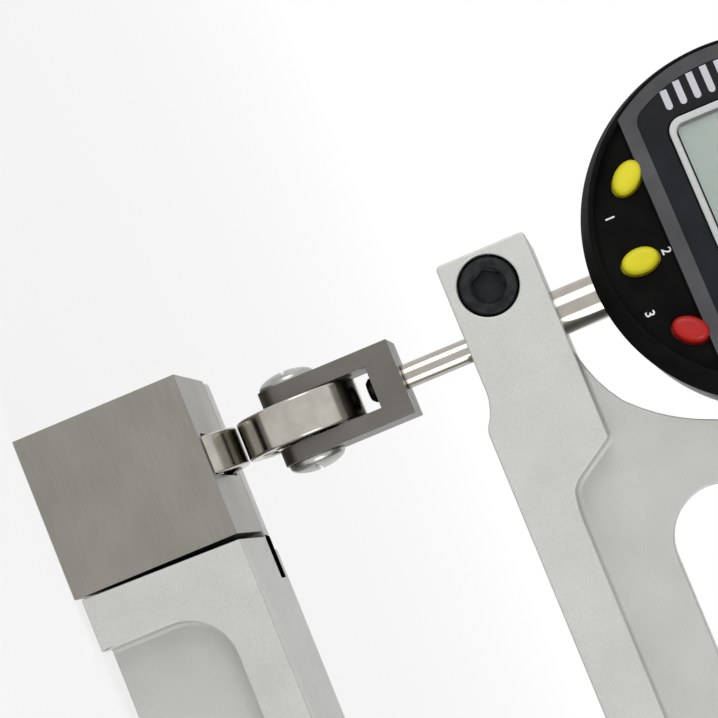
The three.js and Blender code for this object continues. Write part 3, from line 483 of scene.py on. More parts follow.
def make_materials():
    lines_x = (40, 1, 1)
    rings_x = (1, 60, 60)
    rings_z = (60, 60, 1)
    MATERIALS.update(
        enamel=baked_enamel(),
        block=ground_steel("ground_tool_steel", "#8C8983", "#938F89", lines_x),
        fork=ground_steel("ground_fork_steel", "#68645F", "#706C67", (1, 1, 40)),
        bearing=turned_steel("hardened_bearing_steel", "#AFABA3", "#BEBBB3", 0.16, rings_x),
        chrome=turned_steel("polished_stainless", "#A8A49B", "#B4AFA6", 0.12, rings_z),
        zinc=turned_steel("zinc_plated_steel", "#9C9D98", "#B9BAB4", 0.26, rings_x),
        spring=turned_steel("drawn_spring_wire", "#8A8A88", "#9F9F9D", 0.3, rings_z),
        # Heat-treated screws, chemically blackened: near black with a dull oily sheen
        oxide=finish("black_oxide", {"Metallic": 0.75}, (1.4, 3.0, "#17191A", "#2C2E2F"),
                     (1.4, 3.0, 0.36, 0.52), (0.12, 2.0, 0.004, 0.4)),
        # Oil-filled sintered bronze: warm, dull and faintly porous
        bronze=finish("sintered_bronze", {"Metallic": 0.9}, (0.15, 2.0, "#7C5A30", "#B4884E"),
                      (0.15, 2.0, 0.4, 0.55), (0.15, 2.0, 0.008, 0.5)),
        # Tumbled die-cast zinc: grey satin with a slightly cloudy surface
        cast_zinc=finish("die_cast_zinc", {"Metallic": 0.85}, (2.5, 3.0, "#8E9192", "#A9ACAD"),
                         (2.5, 3.0, 0.38, 0.5), (0.3, 2.0, 0.006, 0.4)),
        bezel=moulded_plastic("black_abs_bezel", "#0F0F0F", "#171716", 0.55, shine=0.012),
        knob=moulded_plastic("black_abs_knob", "#1B1B1C", "#252526", 0.45),
        cover=moulded_plastic("black_abs_cover", "#19191A", "#222224", 0.55, 0.45, 0.03),
        panel=moulded_plastic("charcoal_face_film", "#1C1D20", "#222327", 0.45, 0.25, 0.006, 0.08),
        border=moulded_plastic("grey_face_border", "#4A4A4C", "#555557", 0.45, 0.25, 0.008, 0.1),
        # Silver lacquer on plastic trim: tiny flakes under a clear film
        silver=finish("silver_lacquer", {"Metallic": 0.35, "Coat Weight": 0.3, "Coat Roughness": 0.15},
                      (0.1, 1.0, "#A3A6A6", "#BBBDBC"), (0.1, 1.0, 0.3, 0.42)),
        window=clear_acrylic(),
        # Liquid crystal cell over its grey-green reflector, faintly cloudy
        glass=finish("liquid_crystal_glass", {"IOR": 1.5, "Coat Weight": 0.4, "Coat Roughness": 0.08},
                     (14.0, 1.0, "#8B9A90", "#98A79C"), (0.12, 1.0, 0.3, 0.4)),
        # Glass-epoxy board under green solder resist, with the weave just showing
        board=finish("glass_epoxy_board", {"IOR": 1.55}, (0.6, 1.0, "#17492F", "#246B45"),
                     (0.6, 1.0, 0.35, 0.5), (0.6, 1.0, 0.01, 0.4)),
        # Black nitrile rubber: matt, with a faint bloom
        rubber=finish("nitrile_rubber", {"IOR": 1.5}, (1.2, 3.0, "#1F1F20", "#303031"),
                      (1.2, 3.0, 0.72, 0.85), (0.2, 2.0, 0.01, 0.5)),
        yellow=moulded_plastic("yellow_abs_key", "#D2C81C", "#DDD427", 0.34, 0.3, 0.006),
        red=moulded_plastic("red_abs_key", "#A71915", "#B41F1A", 0.34, 0.3, 0.006),
        white_ink=printed_ink("white_pad_print", "#E6E9E9"),
        silver_ink=printed_ink("silver_pad_print", "#C3C3C9"),
        segment_ink=printed_ink("dark_display_segment", "#2A322D"),
    )


class GaugeSettings(bpy.types.PropertyGroup):
    """Sizes and colours that a user may want to change"""

    cast_rounding: bpy.props.FloatProperty(
        name="Casting rounding", description="Radius on the edges of the cast frame",
        default=0.34 * MM, unit="LENGTH", precision=4)
    cast_fillet: bpy.props.FloatProperty(
        name="Casting fillet", description="Radius in the hollow corners of the cast frame",
        default=1.6 * MM, unit="LENGTH", precision=4)
    broken_edge: bpy.props.FloatProperty(
        name="Broken edge", description="Small rounding on ground and turned edges",
        default=0.22 * MM, unit="LENGTH", precision=4)
    print_height: bpy.props.FloatProperty(
        name="Print height", description="Height of the numbers printed beside the buttons",
        default=1.6 * MM, unit="LENGTH", precision=4)
    enamel_light: bpy.props.StringProperty(
        name="Enamel, light", description="Lighter shade of the frame's enamel",
        default="#C9CAC6")
    enamel_shade: bpy.props.StringProperty(
        name="Enamel, dark", description="Darker shade of the frame's enamel",
        default="#C1C2BE")
    daylight: bpy.props.FloatProperty(
        name="Daylight", description="Strength of the white surroundings on matt surfaces",
        default=0.68, min=0.0, max=3.0)
    key_power: bpy.props.FloatProperty(
        name="Lamp power", description="Power of each soft lamp beside the camera",
        default=2.2, unit="POWER")


# The casting's driving sizes, in millimetres, with heights from the nip

THROAT = {"depth": 120, "top": 40.9, "bottom": -4.6, "radius": 12}
RIB = {"upper": 9.1, "lower": 7.6, "spine": 9, "buried": 1}
WEB = {"front": -9, "back": 17.5, "spine": 30, "low": -33.0, "inset": 2}
ARM_BOTTOM = -33.7
END_BLOCK = {"start": 15.5, "end": 24.5, "lean": 0.6, "pocket": 9}
CORNER = 20
HANDLE = {"top": 98, "corner": 5, "reach": 1.4}
BOSS = {"low": 43.2, "high": 59.2, "end": -14, "corner": 0.8, "back": 14}
SLOPE = [(22.9, 59.2), (23.5, 58.8), (27.9, 51.9), (29.4, 50.6), (33, 50)]
RAMP = [(14.7, 40.9), (12.6, 42.3), (9.7, 43.2)]
RIB_END = RAMP[0][0] + 2
DIAL_CURVE = {"x": -3.9, "z": 88.3, "radius": 33.2, "start": -48, "end": -23.05}
WEB_LIP = [(6.5, 55), (6.5, 59.2), (7.6, 59.2), (10.7, 60.0), (13.4, 60.9), (15.9, 62.1)]
FINGER_SLOT = {"start": 37.1, "length": 80, "bottom": 62.1, "height": 18.2}
SEAT = {"plate_front": 14.3, "plate_back": 19.5, "half": 14.5, "notch": 18, "corner": 1,
        "cut_start": -29, "hole_start": 13}
FOOT = {"start": 112, "length": 26, "rise": 3}
CLAMP = {"x": -7.8, "z": 50.3, "head": 10, "sunk": 0.6, "height": 6, "grip": 18.5, "shank": 5.7,
         "slit_half": 0.75, "flats": 5, "socket": 3, "rounding": 0.5}
# The dome of a block screw: shares of its radius, each with the drop from its crown
BLOCK_SCREW = {"spread": 18, "height": 6.6, "shank": 4.4, "dome": ((0.5, 0), (0.72, 0.35), (0.9, 1.0)),
               "rim": 0.5, "flats": 3, "socket": 1.6, "rounding": 0.15}
SET_SCREW = {"radius": 2, "flats": 2, "socket": 2, "rounding": 0.2}
SOCKET_MOUTH = {"over": 1.25, "depth": 0.55, "share": 0.9}
STEM_RADIUS = 4
# The hollow corner of the back recess, as a share of the casting's fillet
BACK_FILLET = 0.6
# How far cutters stand out of the casting, and an x that lies outside it
OVER = {"recess": 9, "slot": 5}
OUTSIDE = -50


def raised(points):
    """Heights from the nip turned to the frame's own."""
    return [(x, z + NIP) for x, z in points]


def throat_line(inset):
    far = THROAT["depth"] + inset
    bottom = THROAT["bottom"] - inset
    top = THROAT["top"] + inset
    radius = THROAT["radius"] + inset
    lower = arc(far - radius, bottom + radius, radius, -90, 0)
    upper = arc(far - radius, top - radius, radius, 0, 90)
    return lower + upper


def rib_side(buried):
    """The outer side of the rib round the C, as far as the pocket beside the end block."""
    outer = THROAT["radius"] + RIB["spine"]
    far = THROAT["depth"] + RIB["spine"]
    top = THROAT["top"] + RIB["upper"]
    bottom = THROAT["bottom"] - RIB["lower"]
    pocket = END_BLOCK["pocket"]
    points = arc(far - outer, top - outer, outer - buried, 90, 0, 20)
    points += arc(far - outer, bottom + outer, outer - buried, 0, -90, 20)
    return points + arc(END_BLOCK["end"] + pocket, bottom - pocket, pocket, 90, 180)


def rib_outline():
    """The rib and the end block. It stops short in the web, where the recess cuts the rib's side."""
    buried = RIB["buried"]
    start = END_BLOCK["start"]
    points = [(start, THROAT["bottom"])]
    points += throat_line(0)
    points += [(RIB_END, THROAT["top"]), (RIB_END, THROAT["top"] + RIB["upper"] - buried)]
    points += rib_side(buried)
    points += [(END_BLOCK["end"], ARM_BOTTOM), (start - END_BLOCK["lean"], ARM_BOTTOM)]
    return raised(points)


def web_outline():
    far = THROAT["depth"] + WEB["spine"]
    curve = arc(DIAL_CURVE["x"], DIAL_CURVE["z"], DIAL_CURVE["radius"],
                DIAL_CURVE["start"], DIAL_CURVE["end"], 28)
    lean = math.tan(math.radians(-DIAL_CURVE["end"]))
    corner = HANDLE["corner"]
    neck = HANDLE["top"] - corner
    neck_x = curve[-1][0] + (neck - curve[-1][1]) * lean
    knuckle = []
    for k in range(1, 9):
        t = k / 8
        knuckle.append((neck_x + 2 * t * (1 - t) * corner * lean + t * t * corner * HANDLE["reach"],
                        neck + 2 * t * (1 - t) * corner + t * t * corner))
    start = END_BLOCK["start"] + WEB["inset"]
    points = [(start, THROAT["bottom"] - WEB["inset"])]
    points += throat_line(WEB["inset"])
    points += [(RAMP[0][0], THROAT["top"] + WEB["inset"])]
    points += WEB_LIP
    points += curve + [(neck_x, neck)] + knuckle
    points += arc(far - CORNER, HANDLE["top"] - CORNER, CORNER, 90, 0, 20)
    points += arc(far - CORNER, WEB["low"] + CORNER, CORNER, 0, -90, 20)
    points += [(start, WEB["low"])]
    return raised(points)


def slot_outline():
    radius = FINGER_SLOT["height"] / 2
    z = FINGER_SLOT["bottom"] + radius
    left = FINGER_SLOT["start"] + radius
    right = FINGER_SLOT["start"] + FINGER_SLOT["length"] - radius
    return raised(arc(left, z, radius, 90, 270, 28) + arc(right, z, radius, -90, 90, 28))


def slope_line():
    """The slope from the boss down to the rib, with its corners rounded off."""
    before = [(18, BOSS["high"])]
    after = [(40, SLOPE[-1][1])]
    return softened(before + SLOPE + after, 1.8, 8)[9:-9]


def recess_outline(start):
    """All that lies outside the rib, from the points of start round the C to the end block."""
    wide = THROAT["depth"] + RIB["spine"] + 60
    corners = [(END_BLOCK["end"], -wide), (wide, -wide), (wide, wide), (start[0][0], wide)]
    return raised(start + rib_side(0) + corners)


def boss_outline():
    corner = BOSS["corner"]
    top = arc(BOSS["end"] + corner, BOSS["high"] - corner, corner, 180, 90, 6)
    foot = arc(BOSS["end"] + corner, BOSS["low"] + corner, corner, -90, -180, 6)
    ramp = softened([(20, THROAT["top"])] + RAMP + [(7, BOSS["low"])], 1.4)[6:-6]
    inside = [(SLOPE[-1][0], THROAT["top"] + 2), (24, THROAT["top"] + 2), (20, THROAT["top"])]
    return raised(top + slope_line() + inside + ramp + foot)


class GAUGE_OT_casting(bpy.types.Operator):
    """Cast frame with its ribs, web, boss, foot and the seat of the block"""

    bl_idname = "gauge.casting"
    bl_label = "Casting"

    def add_seat(self, casting):
        """Adds the plate behind the block, and cuts the seat and the holes of its screws."""
        half = SEAT["half"]
        seat_cut = block("seat_cut", (SEAT["cut_start"], SEAT["plate_back"], -1),
                         (SEAT["notch"], BACK + 1, NIP))
        outline = raised([(-half, THROAT["bottom"]), (END_BLOCK["end"], THROAT["bottom"]),
                          (END_BLOCK["end"], ARM_BOTTOM), (-half, ARM_BOTTOM)])
        plate = extruded("seat_plate", softened(outline, SEAT["corner"]), "y",
                         SEAT["plate_front"], SEAT["plate_back"])
        joined(cut(casting, seat_cut), plate)
        for side in (-1, 1):
            place = (side * BLOCK_SCREW["spread"] / 2, 0, BLOCK_SCREW["height"])
            cut(casting, rod("screw_hole", "y", BLOCK_SCREW["shank"] / 2 + GAP, SEAT["hole_start"],
                             BACK + 1, place))

    def open_boss(self, casting):
        """Cuts the stem's bore, the slit that lets it close and the seat of the clamp bolt."""
        start = NIP + BOSS["low"]
        end = NIP + BOSS["high"]
        half = CLAMP["slit_half"]
        place = (CLAMP["x"], 0, CLAMP["z"] + NIP)
        seat = FRONT + CLAMP["sunk"] + CLAMP["height"]
        cut(casting,
            rod("bore", "z", STEM_RADIUS + GAP, start - 2, end + 2),
            block("slit", (BOSS["end"] - 1, -half, start - 1), (0, half, end + 1)),
            rod("head_hole", "y", CLAMP["head"] / 2 + GAP, FRONT - 1, seat, place, FINE),
            rod("shank_hole", "y", CLAMP["shank"] / 2 + GAP, FRONT, seat + CLAMP["grip"] + GAP, place))

    def execute(self, context):
        settings = context.scene.film_gauge
        casting = extruded("c_frame_casting", rib_outline(), "y", FRONT, BACK)
        web = extruded("web", web_outline(), "y", FRONT, BACK)
        boss = extruded("boss", boss_outline(), "y", FRONT, BOSS["back"])
        foot = block("foot", (FOOT["start"], WEB["front"], 0),
                     (FOOT["start"] + FOOT["length"], WEB["back"], NIP + ARM_BOTTOM + FOOT["rise"]))
        joined(casting, web, boss)
        fillet = settings.cast_fillet / MM
        under = THROAT["top"] - 5
        front_start = [(OUTSIDE, BOSS["high"])] + slope_line()
        back_start = [(OUTSIDE, under), (RIB_END, under), (RIB_END, THROAT["top"] + RIB["upper"])]
        front_recess = extruded("front_recess", recess_outline(front_start), "y",
                                FRONT - OVER["recess"], WEB["front"])
        back_recess = extruded("back_recess", recess_outline(back_start), "y",
                               WEB["back"], BACK + OVER["recess"])
        cut(casting, eased(front_recess, fillet, 5, 40), eased(back_recess, fillet * BACK_FILLET, 5, 40),
            extruded("finger_slot", slot_outline(), "y", FRONT - OVER["slot"], BACK + OVER["slot"]))
        joined(casting, foot)
        self.add_seat(casting)
        self.open_boss(casting)
        apply_modifier(casting, "BEVEL", width=settings.cast_rounding, segments=3, limit_method="ANGLE",
                       angle_limit=math.radians(40), use_clamp_overlap=False, miter_outer="MITER_ARC")
        smoothed(casting)
        dressed(casting, MATERIALS["enamel"], "cast_paint", "gauge_frame", "c_frame")
        return {"FINISHED"}


def socket_screw(name, axis, profile, place, flats, mouth, floor, width):
    """A turned screw with a hexagon socket whose mouth is chamfered."""
    screw = eased(turned(name, axis, profile, place), width, 3)
    radius = flats / math.sqrt(3)
    sign = 1 if floor > mouth else -1
    above = mouth - sign
    below = mouth + sign * SOCKET_MOUTH["depth"]
    chamfer = [(0, above), (radius + SOCKET_MOUTH["over"], above),
               (radius * SOCKET_MOUTH["share"], below), (0, below)]
    cut(screw, hexagon("socket", axis, flats, above, floor, place), turned("mouth", axis, chamfer, place))
    return smoothed(screw)


class GAUGE_OT_screws(bpy.types.Operator):
    """Clamp bolt of the boss, the two screws of the block and its set screw"""

    bl_idname = "gauge.screws"
    bl_label = "Screws"

    def execute(self, context):
        top = low("clamp_bolt").y
        end = high("clamp_bolt").y
        seat = top + CLAMP["height"]
        head = CLAMP["head"] / 2
        shank = CLAMP["shank"] / 2
        profile = [(0, top), (head, top), (head, seat), (shank, seat), (shank, end), (0, end)]
        bolt = socket_screw("clamp_bolt_socket_head", "y", profile, (CLAMP["x"], 0, CLAMP["z"] + NIP),
                            CLAMP["flats"], top, top + CLAMP["socket"], CLAMP["rounding"])
        dressed(bolt, MATERIALS["oxide"], "black_oxide", "gauge_frame", "clamp_bolt")
        for node in ("anvil_screw_left", "anvil_screw_right"):
            tip = low(node).y
            crown = high(node).y
            under = SEAT["plate_back"]
            radius = half_width(node)
            core = BLOCK_SCREW["shank"] / 2
            dome = [(radius * share, crown - drop) for share, drop in BLOCK_SCREW["dome"]]
            profile = [(0, crown), *dome, (radius, under + BLOCK_SCREW["rim"]), (radius, under),
                       (core, under), (core, tip), (0, tip)]
            place = (middle(node).x, 0, middle(node).z)
            screw = socket_screw(node + "_button_head", "y", profile, place, BLOCK_SCREW["flats"], crown,
                                 crown - BLOCK_SCREW["socket"], BLOCK_SCREW["rounding"])
            dressed(screw, MATERIALS["oxide"], "black_oxide", "gauge_frame", node)
        node = "lower_axle_set_screw"
        bottom = low(node).z
        top = high(node).z
        radius = SET_SCREW["radius"]
        profile = [(0, bottom), (radius, bottom), (radius, top), (0, top)]
        screw = socket_screw("set_screw", "z", profile, (middle(node).x, 0, 0), SET_SCREW["flats"],
                             bottom, bottom + SET_SCREW["socket"], SET_SCREW["rounding"])
        dressed(screw, MATERIALS["oxide"], "black_oxide", "gauge_frame", node)
        return {"FINISHED"}


ROLLER = {"radius": 11, "width": 7, "land": 8.98, "inner_land": 6.06, "bore": 4,
          "groove": 9.93, "inner_groove": 5.3, "groove_half": 1, "land_half": 2}
SHIELD = {"dip": 0.45, "hub": 0.5, "rise": 0.9, "fall": 0.75, "rim": 0.35}
POCKET = {"slot": 3.8, "radius": 11.4}
AXLE = {"hole": 4, "pin": 3.7}


class GAUGE_OT_anvil_block(bpy.types.Operator):
    """Ground steel block with the pocket of the lower roller"""

    bl_idname = "gauge.anvil_block"
    bl_label = "Anvil block"

    def execute(self, context):
        edge = context.scene.film_gauge.broken_edge / MM
        base = low("anvil_block")
        crown = high("anvil_block")
        roller = middle("lower_roller_outer_ring").z
        steel = block("anvil_block_ground", base, crown)
        pocket = POCKET["radius"]
        slot = POCKET["slot"]
        centre = (0, 0, roller)
        screw = (middle("lower_axle_set_screw").x, 0, 0)
        cut(steel,
            block("pocket", (-slot, -pocket, roller), (slot, pocket, crown.z + 1)),
            rod("pocket_floor", "x", pocket, -slot, slot, centre, FINE),
            rod("axle_hole", "x", AXLE["hole"], base.x - 1, high("lower_axle").x + GAP, centre),
            rod("set_screw_hole", "z", SET_SCREW["radius"] + GAP, base.z - 1, roller, screw))
        for node in ("anvil_screw_left", "anvil_screw_right"):
            place = (middle(node).x, 0, middle(node).z)
            cut(steel, rod("screw_hole", "y", BLOCK_SCREW["shank"] / 2 + GAP, low(node).y - 1,
                           crown.y + 1, place))
        machined(steel, edge)
        dressed(steel, MATERIALS["block"], "ground_steel", "gauge_frame", "anvil_block")
        axle = rod("lower_axle_pin", "x", AXLE["pin"], low("lower_axle").x, high("lower_axle").x, centre)
        dressed(machined(axle, 0.3), MATERIALS["bearing"], "bearing_steel", "gauge_frame", "lower_axle")
        return {"FINISHED"}


def roller_rings(prefix, moving, still):
    """Outer ring, inner ring and two pressed shields of one ball bearing."""
    z = middle(prefix + "_outer_ring").z
    place = (0, 0, z)
    half = ROLLER["width"] / 2
    wide = ROLLER["land_half"]
    narrow = ROLLER["groove_half"]
    rim = ROLLER["radius"]
    land = ROLLER["land"]
    groove = ROLLER["groove"]
    outer = [(rim, -half), (rim, half), (land, half), (land, wide), (groove, narrow), (groove, -narrow),
             (land, -wide), (land, -half)]
    ring = machined(turned(prefix + "_race_outer", "x", outer, place, VERY_FINE), 0.45, 4, 50)
    dressed(ring, MATERIALS["bearing"], "bearing_steel", moving, prefix + "_outer_ring")
    bore = ROLLER["bore"]
    land = ROLLER["inner_land"]
    groove = ROLLER["inner_groove"]
    inner = [(bore, -half), (land, -half), (land, -wide), (groove, -narrow), (groove, narrow),
             (land, wide), (land, half), (bore, half)]
    ring = machined(turned(prefix + "_race_inner", "x", inner, place), 0.3, 3, 50)
    dressed(ring, MATERIALS["bearing"], "bearing_steel", still, prefix + "_inner_ring")
    for side, word in ((-1, "left"), (1, "right")):
        node = f"{prefix}_shield_{word}"
        face = low(node).x if side < 0 else high(node).x
        back = high(node).x if side < 0 else low(node).x
        outside = (high(node).z - low(node).z) / 2
        inside = land + GAP
        dip = face + (back - face) * SHIELD["dip"]
        profile = [(inside, dip), (inside + SHIELD["hub"], dip), (inside + SHIELD["rise"], face),
                   (outside - SHIELD["fall"], face), (outside - SHIELD["rim"], dip), (outside, dip),
                   (outside, back), (inside, back)]
        plate = machined(turned(node + "_pressed", "x", profile, place), 0.06, 2, 20)
        dressed(plate, MATERIALS["zinc"], "bearing_steel", moving, node)


class GAUGE_OT_rollers(bpy.types.Operator):
    """The two rollers, which are shielded ball bearings"""

    bl_idname = "gauge.rollers"
    bl_label = "Rollers"

    def execute(self, context):
        roller_rings("upper_roller", "upper_roller", "spindle")
        roller_rings("lower_roller", "lower_roller", "gauge_frame")
        return {"FINISHED"}


# The fork's edge is a factor on the broken edge; the face of its screw is a share of the head
FORK = {"rounding": 4.5, "slot": 3.8, "end_wall": 5.1, "screw_hole": 1.5, "edge": 1.6}
FORK_SCREW = {"face": 0.7, "chamfer": 0.7, "core": 1.2, "flats": 1.5, "socket": 0.9, "rounding": 0.12}
AXLE_HEAD = {"radius": 5.1, "height": 2.3, "rim": 0.35, "slot": 0.9, "slot_depth": 0.95, "core": 2.2,
             "reach": 7}


class GAUGE_OT_fork(bpy.types.Operator):
    """Fork of the upper roller, its screw and its two-piece axle"""

    bl_idname = "gauge.fork"
    bl_label = "Fork"

    def execute(self, context):
        edge = context.scene.film_gauge.broken_edge / MM
        base = low("fork")
        crown = high("fork")
        axle_z = middle("upper_roller_outer_ring").z
        corner = FORK["rounding"]
        outline = [(base.y, crown.z)]
        outline += arc(base.y + corner, base.z + corner, corner, 180, 270, 14)
        outline += arc(crown.y - corner, base.z + corner, corner, 270, 360, 14)
        outline += [(crown.y, crown.z)]
        fork = extruded("fork_ground", outline, "x", base.x, crown.x)
        slot = FORK["slot"]
        slot_end = crown.z - FORK["end_wall"]
        cut(fork,
            block("slot", (-slot, base.y - 1, base.z - 1), (slot, crown.y + 1, slot_end)),
            rod("axle_hole", "x", AXLE["hole"], base.x - 1, crown.x + 1, (0, 0, axle_z)),
            rod("screw_hole", "z", FORK["screw_hole"], slot_end - 1, crown.z + 1))
        machined(fork, edge * FORK["edge"])
        dressed(fork, MATERIALS["fork"], "ground_steel", "spindle", "fork")
        self.add_screw(slot_end)
        self.add_axle(crown.x, axle_z)
        return {"FINISHED"}

    def add_screw(self, seat):
        """The screw that holds the fork to the plunger, with its head in the slot."""
        head = half_width("fork_screw")
        bottom = low("fork_screw").z
        top = high("fork_screw").z
        core = FORK_SCREW["core"]
        profile = [(0, bottom), (head * FORK_SCREW["face"], bottom), (head, bottom + FORK_SCREW["chamfer"]),
                   (head, seat), (core, seat), (core, top), (0, top)]
        screw = socket_screw("fork_screw_head", "z", profile, (0, 0, 0), FORK_SCREW["flats"], bottom,
                             bottom + FORK_SCREW["socket"], FORK_SCREW["rounding"])
        dressed(screw, MATERIALS["oxide"], "black_oxide", "spindle", "fork_screw")

    def add_axle(self, fork_side, axle_z):
        """The two halves of the axle, a sleeve and a screw, each with a slotted dome."""
        radius = AXLE_HEAD["radius"]
        height = AXLE_HEAD["height"]
        rim = AXLE_HEAD["rim"]
        half = AXLE_HEAD["slot"] / 2
        reach = AXLE_HEAD["reach"]
        for side, node in ((-1, "axle_sleeve"), (1, "axle_screw")):
            seat = side * fork_side
            top = seat + side * height
            other = high(node).x if side < 0 else low(node).x
            core = AXLE["pin"] if side < 0 else AXLE_HEAD["core"]
            dome = [(radius * math.cos(math.radians(a)),
                     seat + side * (rim + (height - rim) * math.sin(math.radians(a))))
                    for a in range(0, 90, 9)]
            profile = [(0, other), (core, other), (core, seat), (radius, seat)] + dome + [(0, top)]
            head = turned(node + "_domed", "x", profile, (0, 0, axle_z))
            deep = top - side * AXLE_HEAD["slot_depth"]
            cut(head, block("driver_slot", (min(deep, top + side), -reach, axle_z - half),
                            (max(deep, top + side), reach, axle_z + half)))
            machined(head, 0.08)
            dressed(head, MATERIALS["zinc"], "zinc_plate", "spindle", node)


class GAUGE_OT_spindle(bpy.types.Operator):
    """Plunger, stem, guide bushes, top sleeve and the lifting knob"""

    bl_idname = "gauge.spindle"
    bl_label = "Spindle"

    def execute(self, context):
        bottom = low("plunger").z
        top = high("plunger").z
        hole_top = bottom + 5.9
        profile = [(0, hole_top), (1.5, hole_top), (1.5, bottom), (2.2, bottom), (2.2, top), (0, top)]
        plunger = machined(turned("plunger_polished", "z", profile), 0.15, 2)
        dressed(plunger, MATERIALS["chrome"], "chrome", "spindle", "plunger")
        tubes = (
            ("stem", STEM_RADIUS - 0.6, STEM_RADIUS, "chrome", "chrome", 0.25),
            ("lower_bush", 2.5, 3.1, "bronze", "bronze", 0.12),
            ("upper_bush", 2.5, 3.1, "bronze", "bronze", 0.12),
        )
        for node, inner, outer, look, slot, edge in tubes:
            start = low(node).z
            end = high(node).z
            profile = [(inner, start), (outer, start), (outer, end), (inner, end)]
            tube = machined(turned(node + "_turned", "z", profile), edge, 3)
            dressed(tube, MATERIALS[look], slot, "gauge_frame", node)
        start = low("top_sleeve").z
        end = high("top_sleeve").z
        collar = half_width("top_sleeve")
        face = high("indicator_housing").z + GAP
        profile = [(3.4, start), (4.5, start), (4.5, face), (collar, face), (collar, face + 2.4),
                   (4.5, face + 2.4), (4.5, end), (3.4, end)]
        sleeve = machined(turned("top_sleeve_turned", "z", profile), 0.25, 3)
        dressed(sleeve, MATERIALS["chrome"], "chrome", "gauge_frame", "top_sleeve")
        start = low("lift_knob").z
        end = high("lift_knob").z
        radius = half_width("lift_knob")
        profile = [(0, start + 3.5), (2.5, start + 3.5), (2.5, start), (radius - 0.2, start),
                   (radius - 0.2, end - 1.6), (radius - 1, end - 0.4), (radius - 3, end), (0, end)]
        knob = turned("lift_knob_knurled", "z", profile)
        flutes = 28
        for i in range(flutes):
            turn = 2 * math.pi * i / flutes
            place = (radius * math.cos(turn), radius * math.sin(turn), 0)
            cut(knob, rod("flute", "z", 0.36, start + 1.1, end - 2.1, place, 10))
        machined(knob, 0.08, 2, 35)
        dressed(knob, MATERIALS["knob"], "black_plastic", "spindle", "lift_knob")
        return {"FINISHED"}


BEZEL = {"radius": 31.8, "front_radius": 30, "front": -14, "joint": -6, "band": 1.5, "wall": 3.2,
         "facet_out": 29.4, "facet_in": 27.3, "drop": 1.2, "panel": 1.4}
DISPLAY = {"width": 40.6, "height": 24.6, "centre": 2, "border": 1.2, "corner": 2.6}
KEY_ZONE = {"top": -17.5, "depth": 0.8}
KEYS = (
    ("unit", -14.1, -19.7, -39.7, "yellow", "yellow_key"),
    ("mode", 0, -23, 0, "yellow", "yellow_key"),
    ("power", 14.1, -19.7, 39.7, "red", "red_key"),
)
KEY_NUMBERS = (("1", -8.9, -25.0), ("2", 0.0, -18.4), ("3", 8.9, -25.0))
KEY_ROUNDING = 1.2
PANEL_FRONT = BEZEL["front"] + BEZEL["drop"]
PANEL_BACK = PANEL_FRONT + BEZEL["panel"]


def rounded_box(width, height, radius, centre=0, steps=8):
    x = width / 2 - radius
    z = height / 2 - radius
    points = []
    for sx, sz, start in ((1, 1, 0), (-1, 1, 90), (-1, -1, 180), (1, -1, 270)):
        points += arc(sx * x, centre + sz * z, radius, start, start + 90, steps)
    return points


def lifted(points):
    """Heights from the dial's centre turned to the frame's own."""
    return [(x, z + DIAL) for x, z in points]


def display_opening():
    """The opening of the face, round the frame of the display."""
    return lifted(rounded_box(DISPLAY["width"] + 2 * GAP, DISPLAY["height"] + 2 * GAP,
                              DISPLAY["corner"] + GAP, DISPLAY["centre"]))


def oval(key, grow, steps=40):
    """The outline of a key, grown by a clearance."""
    _, x, z, turn, _, _ = key
    long = 3.2 + grow
    short = 2.15 + grow
    cosine = math.cos(math.radians(turn))
    sine = math.sin(math.radians(turn))
    points = []
    for i in range(steps):
        t = 2 * math.pi * i / steps
        u = short * math.cos(t)
        v = long * math.sin(t)
        points.append((x + u * cosine + v * sine, z - u * sine + v * cosine))
    return points


class GAUGE_OT_bezel(bpy.types.Operator):
    """Round black bezel with its facet, its key zone and its openings"""

    bl_idname = "gauge.bezel"
    bl_label = "Bezel"

    def execute(self, context):
        rim = BEZEL["radius"]
        front = BEZEL["front"]
        joint = BEZEL["joint"]
        inner = rim - BEZEL["wall"]
        place = (0, 0, DIAL)
        profile = [(0, PANEL_FRONT), (BEZEL["facet_in"], PANEL_FRONT), (BEZEL["facet_out"], front),
                   (BEZEL["front_radius"] - 0.4, front), (BEZEL["front_radius"], front + 0.4),
                   (rim, joint - BEZEL["band"]), (rim, joint), (inner, joint),
                   (inner, PANEL_BACK), (0, PANEL_BACK)]
        body = turned("front_bezel_moulded", "y", profile, place, VERY_FINE)
        zone_radius = BEZEL["facet_out"] - GAP
        half = math.degrees(math.acos(-KEY_ZONE["top"] / zone_radius))
        zone = lifted(arc(0, 0, zone_radius, -90 - half, -90 + half, 40))
        cut(body, extruded("opening", display_opening(), "y", front - 1, PANEL_BACK + 1),
            extruded("zone", zone, "y", front - 1, PANEL_FRONT + KEY_ZONE["depth"]))
        for key in KEYS:
            cut(body, extruded("key_hole", lifted(oval(key, GAP)), "y", front - 1, PANEL_BACK + 1))
        machined(body, 0.15, 2, 25, 28)
        dressed(swung(body), MATERIALS["bezel"], "black_plastic", "gauge_frame", "front_bezel")
        return {"FINISHED"}


BORDER = {"band_low": -17.3, "band_high": -14.7, "radius_in": 27.2, "corner": 3.2, "film": 0.12,
          "band": 0.3}
BARS = {"count": 9, "pitch": 2.56, "middle": 1.8, "half": 0.6, "gap": 1.7, "spare": 0.2}


